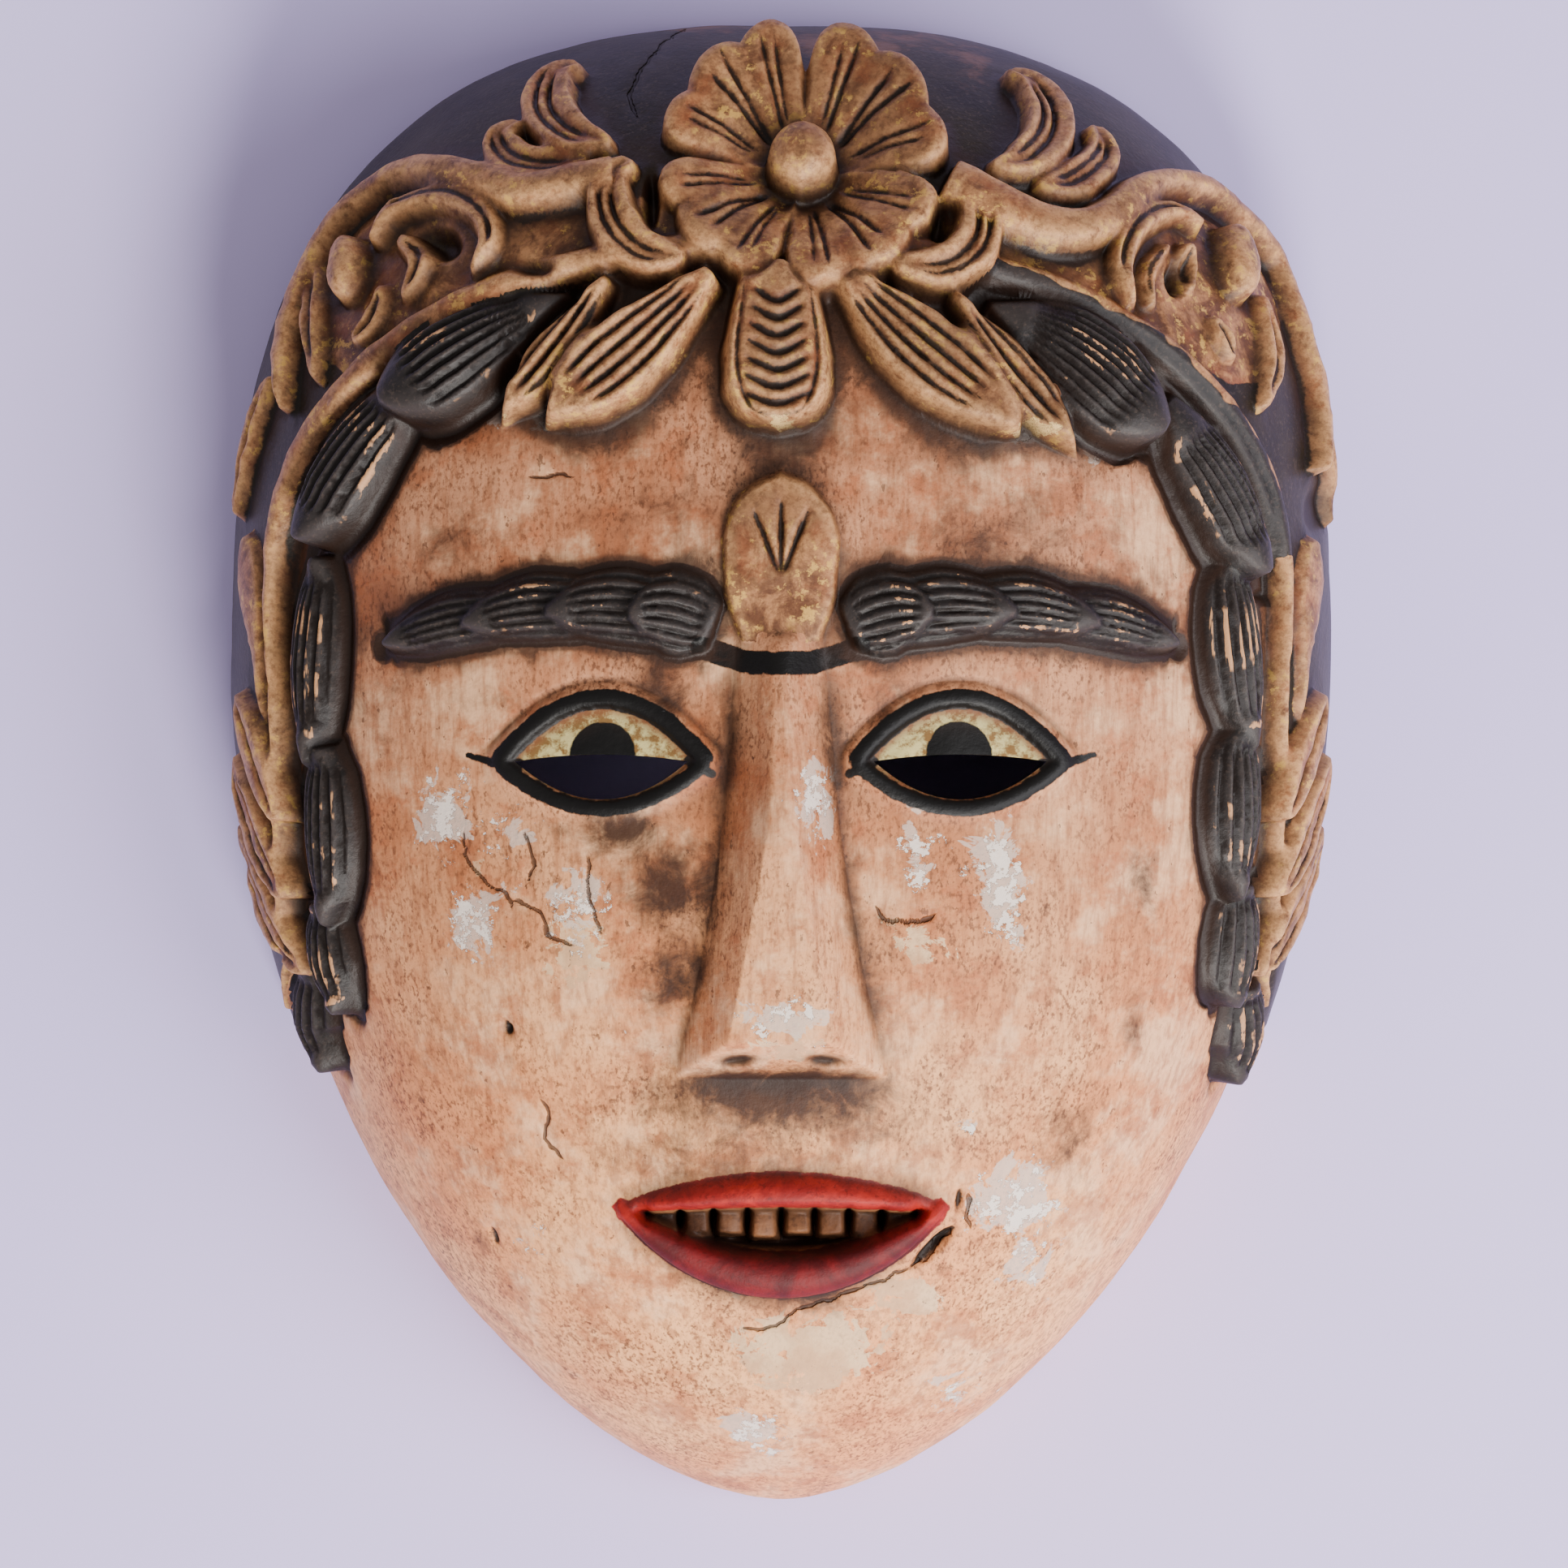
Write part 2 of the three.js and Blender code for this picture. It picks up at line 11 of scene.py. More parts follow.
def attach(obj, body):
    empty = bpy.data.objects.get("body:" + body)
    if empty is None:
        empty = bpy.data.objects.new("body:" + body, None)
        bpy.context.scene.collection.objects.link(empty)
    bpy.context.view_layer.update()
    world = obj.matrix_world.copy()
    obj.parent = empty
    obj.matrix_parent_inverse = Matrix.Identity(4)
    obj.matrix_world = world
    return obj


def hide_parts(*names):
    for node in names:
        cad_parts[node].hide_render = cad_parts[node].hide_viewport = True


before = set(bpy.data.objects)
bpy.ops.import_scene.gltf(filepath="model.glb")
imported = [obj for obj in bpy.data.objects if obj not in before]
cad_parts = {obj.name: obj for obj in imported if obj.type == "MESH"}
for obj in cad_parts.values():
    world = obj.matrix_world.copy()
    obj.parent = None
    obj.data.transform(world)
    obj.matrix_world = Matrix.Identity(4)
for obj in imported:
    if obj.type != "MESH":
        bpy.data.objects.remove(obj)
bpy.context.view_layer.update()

MM = 0.001
LEFT, RIGHT = -1, 1

# The block: an egg cut in half, as the solid has it
CHIN_Y, CROWN_Y = -100.0, 97.8
WIDEST_Y, HALF_WIDTH = 15.0, 72.3
FULLEST_Y, DEPTH = 20.0, 60.0
SECTION_POWER = 2.4
CROWN_POWER, CHIN_POWER, CHIN_ROOT = 2.6, 2.0, 0.6
RISE_POWER, RISE_ROOT, FALL_POWER, FALL_ROOT = 2.6, 1 / 2.2, 2.4, 0.55
CAP_LIFT = 2.2
WALL = 10.0
RIM_DROP, RIM_REACH = 0.5, 1.2

# The arch that the cap leaves open for the face
ARCH_HALF_WIDTH, ARCH_SHOULDER_Y, ARCH_RISE, ARCH_POWER = 64.5, 15.0, 48.5, 2.4
CAP_FOOT_Y, FOOT_TUCK = -42.0, 2.0

# The height that the mask is looked at from, and the height of its outline
EYE_HEIGHT, OUTLINE_HEIGHT = 1000.0, 20.0
EDGE_SHARE = 0.985

# The features of the face, on even proportions
EYE_X, EYE_Y, EYE_HALF, EYE_UPPER, EYE_LOWER = 23.0, 0.0, 12.0, 7.0, 5.0
SLIT_HALF, SLIT_TOP, SLIT_BOTTOM, SLIT_FLARE = 10.0, 0.8, -4.4, 1.3
NOSE_TOP, NOSE_BASE, NOSE_BRIDGE, NOSE_WING, NOSE_ROOT, NOSE_TIP = 16.0, -41.0, 5.6, 12.6, 3.0, 13.5
NOSE_BASE_SLOPE, NOSE_SIDE_SLOPE, NOSE_ROOT_SLOPE = 1.15, 1.22, 1.1
NOSE_SPREAD, NOSE_WIDEN, NOSE_ROUNDING = 1.4, 1.7, 0.28
NOSTRIL_X, NOSTRIL_UP, NOSTRIL_HALF, NOSTRIL_TALL, NOSTRIL_DEPTH = 5.6, 4.2, 2.6, 0.95, 1.5
NOSTRIL_TILT = 0.12
MOUTH_Y, MOUTH_HALF, MOUTH_UPPER, MOUTH_LOWER, MOUTH_DEPTH, MOUTH_CURL = -60.0, 20.0, 2.4, 4.0, 8.0, 1.6
TOOTH_COUNT, TOOTH_SPAN, TOOTH_REACH, TOOTH_RISE = 8, 17.6, 2.3, 5.4

# The dark line of a knife cut, which is painted shade and dirt, how finely the block is carved, and how many
# faces it keeps
CUT_HALF, CUT_FADE, EDGE_WANDER = 0.3, 0.12, 0.2
FOLLOW_STEP = 0.8
CELLS = 820
INNER_CELLS = 84
FACES_KEPT = 176000
SOFTEN_TURNS, SOFTEN_PLAIN, SOFTEN_STEEP = 6, 0.08, 0.6
SMOOTH_BELOW = 72.0
SURFACES = ("gilt", "hair", "cap", "line", "eye", "pupil", "lips", "teeth", "cut")
MARKS = ("crevice_shade_and_dirt", "ridge", "ground", "flake", "stain_and_shade", "bare", "crack", "mouth")
FAR = 4.0
PAINTS = SURFACES + MARKS


# Shell of the block

def half_width(y, extra=0.0):
    """Half the width of the shell at y, for a shell grown by extra."""
    crown = y > WIDEST_Y
    reach = np.where(crown, CROWN_Y - WIDEST_Y, WIDEST_Y - CHIN_Y) + extra
    t = np.clip(np.abs(y - WIDEST_Y) / reach, 0, 1)
    share = np.where(crown, (1 - t ** CROWN_POWER) ** (1 / CROWN_POWER), (1 - t ** CHIN_POWER) ** CHIN_ROOT)
    return (HALF_WIDTH + extra) * share


def height(y, extra=0.0):
    """Height of the shell above its rim along the middle line."""
    crown = y > FULLEST_Y
    reach = np.where(crown, CROWN_Y - FULLEST_Y, FULLEST_Y - CHIN_Y) + extra
    t = np.clip(np.abs(y - FULLEST_Y) / reach, 0, 1)
    share = np.where(crown, (1 - t ** RISE_POWER) ** RISE_ROOT, (1 - t ** FALL_POWER) ** FALL_ROOT)
    return (DEPTH + extra) * share


def fullness(points, extra=0.0):
    """1 on the shell, less inside it and more outside."""
    x, y, z = points.T
    across = np.abs(x) / np.maximum(half_width(y, extra), 1e-3)
    up = np.maximum(z, 0) / np.maximum(height(y, extra), 1e-3)
    return (across ** SECTION_POWER + up ** SECTION_POWER) ** (1 / SECTION_POWER)


def slope(points, extra=0.0):
    """How fullness grows at each point."""
    step = 0.05
    steps = np.eye(3) * step
    grown = [fullness(points + d, extra) - fullness(points - d, extra) for d in steps]
    return np.stack(grown, 1) / (2 * step)


def unit(vectors):
    """The same directions, all one long."""
    return vectors / np.maximum(np.linalg.norm(vectors, axis=1, keepdims=True), 1e-9)


def settle(points, extra=0.0):
    """The nearest places on the shell."""
    settled = points.copy()
    for turn in range(3):
        g = slope(settled, extra)
        settled += g * ((1 - fullness(settled, extra)) / np.maximum((g * g).sum(1), 1e-9))[:, None]
    return settled


def front_height(x, y, extra=0.0):
    """Height of the shell over x, y."""
    share = np.clip(1 - (np.abs(x) / np.maximum(half_width(y, extra), 1e-3)) ** SECTION_POWER, 0, 1)
    return height(y, extra) * share ** (1 / SECTION_POWER)


def front(x, y):
    """The place on the shell straight over x, y."""
    return (x, y, float(front_height(np.float64(x), np.float64(y))))


def seen(x, y):
    """The place on the shell that shows at x, y, in the plane of the outline, from the eye height."""
    z = OUTLINE_HEIGHT
    for turn in range(12):
        k = (EYE_HEIGHT - z) / (EYE_HEIGHT - OUTLINE_HEIGHT)
        edge = EDGE_SHARE * float(half_width(np.float64(y * k), CAP_LIFT))
        across = max(-edge, min(edge, x * k))
        z = float(front_height(np.float64(across), np.float64(y * k), CAP_LIFT))
    return (across, y * k, z)


def beside(side, y, z):
    """The place on the flank of the shell at y, z."""
    share = max(0.0, 1 - (z / float(height(np.float64(y)))) ** SECTION_POWER) ** (1 / SECTION_POWER)
    return (side * float(half_width(np.float64(y))) * share, y, z)


def smooth(low, high, value):
    """0 below low, 1 above high, and an easy curve between."""
    t = np.clip((value - low) / (high - low), 0, 1)
    return t * t * (3 - 2 * t)


def noise(points, size, seed):
    """Smooth noise of -1 to 1 with bumps of the given size."""
    lattice = np.random.default_rng(seed).uniform(-1, 1, (32, 32, 32))
    place = points / size
    cell = np.floor(place).astype(int)
    f = place - cell
    f = f * f * (3 - 2 * f)
    total = np.zeros(len(points))
    for corner in np.ndindex(2, 2, 2):
        weight = np.prod(np.where(corner, f, 1 - f), axis=1)
        i, j, k = ((cell + corner) % 32).T
        total += weight * lattice[i, j, k]
    return total


def spline(points, count):
    """A smooth line of count places through the points."""
    knots = np.array(points, float)
    if len(knots) == 2:
        return knots[0] + np.linspace(0, 1, count)[:, None] * (knots[1] - knots[0])
    padded = np.vstack([2 * knots[0] - knots[1], knots, 2 * knots[-1] - knots[-2]])
    chord = np.concatenate([[0], np.cumsum(np.linalg.norm(np.diff(knots, axis=0), axis=1))])
    at = np.interp(np.linspace(0, chord[-1], count), chord, np.arange(len(knots)))
    i = np.minimum(at.astype(int), len(knots) - 2)
    f = (at - i)[:, None]
    a, b, c, d = (padded[i + n] for n in range(4))
    square, cube = 2 * a - 5 * b + 4 * c - d, 3 * b - a - 3 * c + d
    return 0.5 * (2 * b + (c - a) * f + square * f ** 2 + cube * f ** 3)


def arch_distance(x, y):
    """How far x, y is outside the face opening: negative over the face."""
    below = np.clip((ARCH_SHOULDER_Y - y) / (ARCH_SHOULDER_Y - CAP_FOOT_Y), 0, 1)
    side = np.abs(x) - (ARCH_HALF_WIDTH - FOOT_TUCK * below ** 2)
    up = np.maximum(y - ARCH_SHOULDER_Y, 1e-6)
    q = ((np.abs(x) / ARCH_HALF_WIDTH) ** ARCH_POWER + (up / ARCH_RISE) ** ARCH_POWER) ** (1 / ARCH_POWER)
    over = np.hypot(x, up) * (1 - 1 / np.maximum(q, 1e-6))
    return np.where(y > ARCH_SHOULDER_Y, over, side)


def arch_point(u, out):
    """A place along the arch, out from its edge: u is -1 and 1 at its feet and 0 at the top."""
    shoulder = 0.6
    side, far = (1 if u >= 0 else -1), abs(u)
    if far > shoulder:
        y = ARCH_SHOULDER_Y + (CAP_FOOT_Y - ARCH_SHOULDER_Y) * (far - shoulder) / (1 - shoulder)
        below = (ARCH_SHOULDER_Y - y) / (ARCH_SHOULDER_Y - CAP_FOOT_Y)
        return front(side * (ARCH_HALF_WIDTH - FOOT_TUCK * below ** 2 + out), y)
    angle = far / shoulder * math.pi / 2
    x = (ARCH_HALF_WIDTH + out) * math.sin(angle) ** (2 / ARCH_POWER)
    return front(side * x, ARCH_SHOULDER_Y + (ARCH_RISE + out) * math.cos(angle) ** (2 / ARCH_POWER))


class Block:
    """The sheet of wood being carved: its places, how far each is raised, and its paints."""

    def __init__(self, base):
        self.base = base
        self.normal = unit(slope(base))
        self.lift = np.zeros(len(base))
        self.paint = {name: np.full(len(base), -FAR if name in SURFACES else 0.0) for name in PAINTS}

    def follow(self, points, reach):
        """Where the sheet runs near a line: which places, how far along in 0 to 1, and how far across."""
        rough = spline(points, 24)
        length = np.linalg.norm(np.diff(rough, axis=0), axis=1).sum()
        count = int(np.clip(length / FOLLOW_STEP, 10, 400))
        line = settle(spline(points, count))
        low, high = line.min(0) - reach, line.max(0) + reach
        near = np.flatnonzero(((self.base > low) & (self.base < high)).all(1))
        place = self.base[near]
        sideways = np.cross(unit(slope(line)), unit(np.gradient(line, axis=0)))
        best, along, across = np.full(len(near), 1e9), np.zeros(len(near)), np.zeros(len(near))
        for i in range(count - 1):
            start, step = line[i], line[i + 1] - line[i]
            share = (place - start) @ step / (step @ step)
            share = np.clip(share, -9 if i == 0 else 0, 10 if i == count - 2 else 1)
            offset = place - start - share[:, None] * step
            aside = offset @ (sideways[i] + sideways[i + 1]) / 2
            beyond = np.clip(np.maximum(-share, share - 1), 0, None)
            away = (offset ** 2).sum(1) + beyond ** 2 * (step @ step)
            closer = away < best
            best[closer] = away[closer]
            along[closer] = (i + share[closer]) / (count - 1)
            across[closer] = (np.sign(aside) * np.sqrt((offset ** 2).sum(1)))[closer]
        keep = best < reach ** 2
        return near[keep], along[keep], across[keep], length

    def mark(self, name, values, near=slice(None)):
        """Keep the stronger of what a place has and what it is given."""
        own = self.paint[name]
        own[near] = np.maximum(own[near], values)

    def claim(self, near, inside, raised, paint, cuts):
        """Raise the places inside a form, and give them its paint and its cuts where it is the topmost."""
        above = raised - self.lift[near]
        won = (inside > 0) & (above > 0)
        self.lift[near[won]] = raised[won]
        self.paint["cut"][near[won]] = cuts[won]
        own = self.paint[paint]
        own[near] = np.where(inside < 0, np.maximum(own[near], inside), own[near])
        own[near[won]] = np.maximum(own[near[won]], inside[won])
        # The red of a lip ends in one clean line where the lip sinks into the cheek
        if paint == "lips":
            own[near] = np.maximum(own[near], np.minimum(inside, above))
        for other in ("gilt", "hair"):
            if other != paint:
                self.paint[other][near[won]] = np.minimum(self.paint[other][near[won]], -inside[won])

    def run(self, paint, points, half, crown, ground=0.0, edge=1.2, side=0.25, hollow=0.0, bow=2.0, swell=0.5,
            grooves=(), depth=0.55, groove=0.34, groove_span=(0.12, 0.9)):
        """A form that runs along a line, with its half width and crown height given at even steps.

        It stands on the ground height, edge is how far in its sides take to rise, and side, hollow, bow and
        swell give its section. Grooves are cuts along it, placed from -1 to 1 across, of a depth and width.
        """
        reach = max(half) + FAR
        near, along, across, length = self.follow(points, reach)
        s = np.clip(along, 0, 1)
        steps = np.linspace(0, 1, len(half))
        wide = spread(s, steps, half)
        steep = (spread(s + 0.01, steps, half) - wide) / (0.01 * length)
        inside = wide - np.abs(across)
        if paint == "gilt":
            inside += EDGE_WANDER * noise(self.base[near], 2.6, 41)
        steep = np.where(inside > 0, steep, np.clip(steep, -1, 1))
        inside = inside / np.sqrt(1 + steep ** 2)
        past = np.maximum(-along, along - 1) * length
        inside = np.where(past > 0, -np.hypot(past, np.maximum(-inside, 0)) + 0.0, inside)
        t = np.clip(across / np.maximum(wide, 0.2), -1, 1)
        body = side + (1 - side) * (1 - np.abs(t) ** bow) ** swell - hollow * (1 - np.abs(t)) ** 1.5
        top = spread(s, np.linspace(0, 1, len(crown)), crown) * body
        first, last = groove_span
        window = smooth(first, first + CUT_FADE, s) * (1 - smooth(last - CUT_FADE, last, s))
        cuts = np.full(len(near), -FAR)
        for mark in grooves:
            away = np.abs(t - mark) * wide
            top -= depth * window * np.exp(-(away / groove) ** 2)
            cuts = np.maximum(cuts, np.where(window > 0, CUT_HALF * window - away, -FAR))
        below = self.lift[near]
        shoulder = 1 - (1 - np.clip(inside / edge, 0, 1)) ** 1.6
        self.claim(near, inside, below + (ground + top - below) * shoulder, paint, cuts)

    def cut(self, points, depth, width=0.35, dark=1.0):
        """A thin cut along a line, pressed into what is already carved."""
        near, along, across, length = self.follow(points, 2.5)
        past = np.maximum(np.maximum(-along, along - 1), 0) * length
        away = np.hypot(across, past)
        taper = 1 - 0.6 * np.clip(np.abs(along - 0.5) * 2, 0, 1) ** 3
        press = np.exp(-(away / width) ** 2) * taper
        self.lift[near] -= depth * press
        self.mark("cut", 0.8 * width * dark * taper - away, near)


def spread(s, steps, values):
    """Values given at even steps, with a straight line from each to the next."""
    s = np.clip(s, 0, 1) * (len(steps) - 1)
    i = np.minimum(s.astype(int), len(steps) - 2)
    f = s - i
    values = np.array(values, float)
    return values[i] + (values[i + 1] - values[i]) * f


def rounded(values, count=24):
    """Half widths for a form whose far end is round and whose near end is as given."""
    s = np.linspace(0, 1, count)
    wide = np.interp(s, np.linspace(0, 1, len(values)), values)
    return wide * np.sqrt(np.clip(1 - s ** 8, 0, 1))


def both_ends(values, count=24):
    """Half widths for a form that is round at both ends."""
    s = np.linspace(0, 1, count)
    wide = np.interp(s, np.linspace(0, 1, len(values)), values)
    return wide * np.sqrt(np.clip(1 - np.abs(2 * s - 1) ** 8, 0, 1))


def laid(places):
    """The places on the shell of a form that is measured as it is seen."""
    return [seen(*place) for place in places]


# Carving, from the ground up

# The foot of the cap falls away from the viewer on the flank, and its skin waves and ripples a little
CAP_FOOT_ROOM, CAP_FOOT_FALL = 2.0, 0.25
CAP_WAVE, CAP_WAVE_SIZE, CAP_RIPPLE, CAP_RIPPLE_SIZE = 0.18, 9.0, 0.07, 3.2


def lay_cap(block):
    """The cap stands proud of the face, and its skin is a little uneven from the knife."""
    x, y, z = block.base.T
    out = arch_distance(x, y)
    behind = y - (CAP_FOOT_Y + CAP_FOOT_ROOM + CAP_FOOT_FALL * (OUTLINE_HEIGHT - z))
    cap = np.minimum(out, behind)
    block.paint["cap"] = np.clip(cap, -3, 3)
    block.lift += CAP_LIFT * smooth(-0.4, 0.8, cap)
    wave, ripple = noise(block.base, CAP_WAVE_SIZE, 3), noise(block.base, CAP_RIPPLE_SIZE, 4)
    block.lift += CAP_WAVE * wave + CAP_RIPPLE * ripple


# Soft forms of the face, alike on both sides: the rise of each, where it is, and how wide and tall
SOFT_FORMS = [
    (1.6, 0, -84, 15, 11),
    (1.2, 30, -28, 15, 16),
    (-1.6, EYE_X, EYE_Y + 3, 14, 9),
    (1.0, 0, -60, 22, 12),
    (-0.8, 0, -74, 12, 5),
    (-0.6, 18, -46, 5, 12),
]


def model_face(block):
    """Chin, cheeks, eye sockets and the mound under the mouth, soft and even."""
    x, y, z = block.base.T
    for rise, out, up, wide, tall in SOFT_FORMS:
        block.lift += rise * np.exp(-((np.abs(x) - out) / wide) ** 2 - ((y - up) / tall) ** 2)


def soft_least(values, ease):
    """The least of several heights, with the edges between them rounded a little."""
    total = sum(np.exp(-np.clip(v, -20, 40) / ease) for v in values)
    return -ease * np.log(np.maximum(total, 1e-12))


def carve_nose(block):
    """A nose of plain facets: two sides, a ridge that widens to the tip, and a sloping base."""
    near = np.flatnonzero((np.abs(block.base[:, 0]) < NOSE_WING + 4) & (block.base[:, 1] > NOSE_BASE - 4)
                          & (block.base[:, 1] < NOSE_TOP + 4))
    x, y = block.base[near, 0], block.base[near, 1]
    s = np.clip((NOSE_TOP - y) / (NOSE_TOP - NOSE_BASE), 0, 1)
    rise = NOSE_ROOT + (NOSE_TIP + NOSE_SPREAD - NOSE_ROOT) * s
    wide = NOSE_BRIDGE + (NOSE_WING + NOSE_SPREAD - NOSE_BRIDGE) * s ** NOSE_WIDEN
    side = rise * NOSE_SIDE_SLOPE * (1 - np.abs(x) / wide)
    base = (y - NOSE_BASE) * NOSE_BASE_SLOPE
    root = (NOSE_TOP + 2 - y) * NOSE_ROOT_SLOPE
    nose = soft_least([side, rise, base, root], NOSE_ROUNDING)
    block.lift[near] = np.maximum(block.lift[near], nose)
    for side in (LEFT, RIGHT):
        across = (x - side * NOSTRIL_X) / NOSTRIL_HALF
        up = (y - NOSE_BASE - NOSTRIL_UP + NOSTRIL_TILT * np.abs(x)) / NOSTRIL_TALL
        pit = np.exp(-(across ** 2 + up ** 2) ** 2)
        block.lift[near] -= NOSTRIL_DEPTH * pit
        # The nostril pits are marked dark: painted shade and dirt
        block.mark("crevice_shade_and_dirt", pit, near)


def outline_distance(points, loop):
    """Distance to a closed loop in the plane, positive inside it."""
    a, b = loop, np.roll(loop, -1, axis=0)
    edge = b - a
    best = np.full(len(points), 1e9)
    inside = np.zeros(len(points), bool)
    for p, q, d in zip(a, b, edge):
        share = np.clip(((points - p) @ d) / max(d @ d, 1e-9), 0, 1)
        best = np.minimum(best, np.linalg.norm(points - p - share[:, None] * d, axis=1))
        crosses = (p[1] > points[:, 1]) != (q[1] > points[:, 1])
        with np.errstate(divide="ignore", invalid="ignore"):
            at = p[0] + (points[:, 1] - p[1]) * d[0] / d[1]
        inside ^= crosses & (points[:, 0] < at)
    return np.where(inside, best, -best)


def line_distance(points, line):
    """Distance to an open line in the plane."""
    best = np.full(len(points), 1e9)
    for p, q in zip(line[:-1], line[1:]):
        d = q - p
        share = np.clip(((points - p) @ d) / max(d @ d, 1e-9), 0, 1)
        best = np.minimum(best, np.linalg.norm(points - p - share[:, None] * d, axis=1))
    return best


def almond(half, upper, lower, corners=24):
    """The outline of an eye or mouth opening: two arcs that meet at the corners."""
    share = np.linspace(-1, 1, corners)
    top = np.stack([share * half, upper * (1 - share ** 2)], 1)
    bottom = np.stack([-share * half, -lower * (1 - share ** 2)], 1)
    return np.vstack([top, bottom[1:-1]])


# The eye: its ball, its lid, the fold over it, the painted edge, the pupil and the painted corners
BALL_RISE, BALL_REACH, BALL_SINK = 1.6, 5.5, 0.7
LID_RISE, LID_REACH, LID_OUT, FOLD_DEPTH, FOLD_REACH, FOLD_OUT = 1.1, 1.7, 1.0, 0.45, 0.5, 3.4
LINE_HALF, LINE_MORE, PUPIL_RADIUS, PUPIL_UP = 1.05, 0.3, 4.3, 0.8
OUTER_HALF, OUTER_THINS, INNER_HALF = 0.8, 0.06, 0.6
OUTER_CORNER = np.array([[11.0, -0.4], [14.0, -0.2], [17.5, 0.8]])
INNER_CORNER = np.array([[-11.0, 0.0], [-14.2, -1.6]])


def carve_eyes(block):
    """Each eye: a low ball between two lids, gilt, with a painted pupil and a black painted edge."""
    for side in (LEFT, RIGHT):
        beside_eye = np.abs(block.base[:, 0] - side * EYE_X) < 2 * EYE_HALF
        near = np.flatnonzero(beside_eye & (np.abs(block.base[:, 1]) < 16))
        plane = block.base[near][:, :2] - (side * EYE_X, EYE_Y)
        plane[:, 0] *= side
        inside = outline_distance(plane, almond(EYE_HALF, EYE_UPPER, EYE_LOWER))
        ball = BALL_RISE * np.sqrt(np.clip(inside / BALL_REACH, 0, 1))
        lid = LID_RISE * np.exp(-((inside + LID_OUT) / LID_REACH) ** 2)
        fold = FOLD_DEPTH * np.exp(-((inside + FOLD_OUT) / FOLD_REACH) ** 2) * smooth(0, 3, plane[:, 1])
        block.lift[near] += np.where(inside > 0, ball - BALL_SINK, 0) + lid - fold
        tail = line_distance(plane, OUTER_CORNER)
        inner = line_distance(plane, INNER_CORNER)
        edge = LINE_HALF + LINE_MORE * (plane[:, 1] > 0) - np.abs(inside + LID_OUT)
        edge = np.maximum(edge, OUTER_HALF - OUTER_THINS * np.clip(plane[:, 0] - 11, 0, 7) - tail)
        edge = np.maximum(edge, INNER_HALF - inner)
        pupil = PUPIL_RADIUS - np.hypot(plane[:, 0], plane[:, 1] - PUPIL_UP)
        for name, distance in (("eye", inside), ("line", edge), ("pupil", pupil)):
            block.mark(name, np.clip(distance, -3, 3), near)


# The lips: how far each one stands from the opening, its half width, and how high both rise
LIPS, LIP_RISE = ((MOUTH_UPPER + 2.1, 2.7), (-MOUTH_LOWER - 2.7, 3.4)), 3.4


def carve_lips(block):
    """Two lips that meet at the corners, each a round run of red."""
    share = np.linspace(-1.06, 1.06, 9)
    s = np.linspace(0, 1, 24)
    swell = np.sin(np.pi * s)
    for rise, half in LIPS:
        line = [front(u * MOUTH_HALF, MOUTH_Y + rise * (1 - u * u) + MOUTH_CURL * u * u) for u in share]
        wide = half * (0.25 + 0.75 * swell ** 0.7)
        high = LIP_RISE * (0.35 + 0.65 * swell ** 0.6)
        block.run("lips", line, wide, high, side=0.1)


# The brows: where one starts, how long, high and arched it is, its tufts, and the line that joins the two
BROW_START, BROW_SPAN, BROW_Y, BROW_ARCH, BROW_DROP, BROW_HALF, BROW_TUFTS = 8.5, 42.0, 15.0, 5.0, 1.5, 5.8, 4
BROW_JOIN, BROW_JOIN_HALF = np.array([[-10.0, 14.5], [-4.0, 12.6], [4.0, 12.6], [10.0, 14.5]]), 1.5


def carve_brows(block):
    """Brows cut as short locks of hair, with a painted line that joins them under the brow leaf."""
    for side in (LEFT, RIGHT):
        def line(u):
            y = BROW_Y + BROW_ARCH * math.sin(math.pi * (0.15 + 0.75 * u)) - BROW_DROP * u
            return front(side * (BROW_START + BROW_SPAN * u), y)
        for i in reversed(range(BROW_TUFTS)):
            start, end = (i - 0.75) / BROW_TUFTS if i else 0.0, (i + 1.05) / BROW_TUFTS
            half = BROW_HALF * (1 - 0.1 * i)
            turn = line((start + end) / 2)
            middle = (turn[0], turn[1] + 0.8, turn[2])
            block.run("hair", [line(start), middle, line(end)],
                      rounded([0.62 * half, 0.95 * half, half, 0.86 * half, 0.5 * half]),
                      [2.0, 2.8, 3.6, 3.8 - 0.2 * i], side=0.15, bow=2.4, swell=0.8, edge=1.1,
                      grooves=np.linspace(-0.72, 0.72, 6), depth=0.75, groove=0.36, groove_span=(0.08, 0.86))
    near = np.flatnonzero((np.abs(block.base[:, 0]) < 14) & (np.abs(block.base[:, 1] - 13) < 6))
    joined = line_distance(block.base[near][:, :2], BROW_JOIN)
    block.mark("line", np.clip(BROW_JOIN_HALF - joined, -3, 3), near)


def carve_brow_leaf(block):
    """The small leaf between the brows, with three cuts that fan up from its middle."""
    half = rounded([5.2, 7.2, 7.6, 7.4, 5.2])
    block.run("gilt", [front(0, 15.5), front(0, 37)], half, [1.7, 1.9, 1.6], edge=0.7, side=0.7)
    for x in (-3.4, 0.0, 3.4):
        block.cut([front(x * 0.15, 24.5), front(x * 0.6, 28.5), front(x, 33 - abs(x) * 0.35)], 0.9, 0.42)


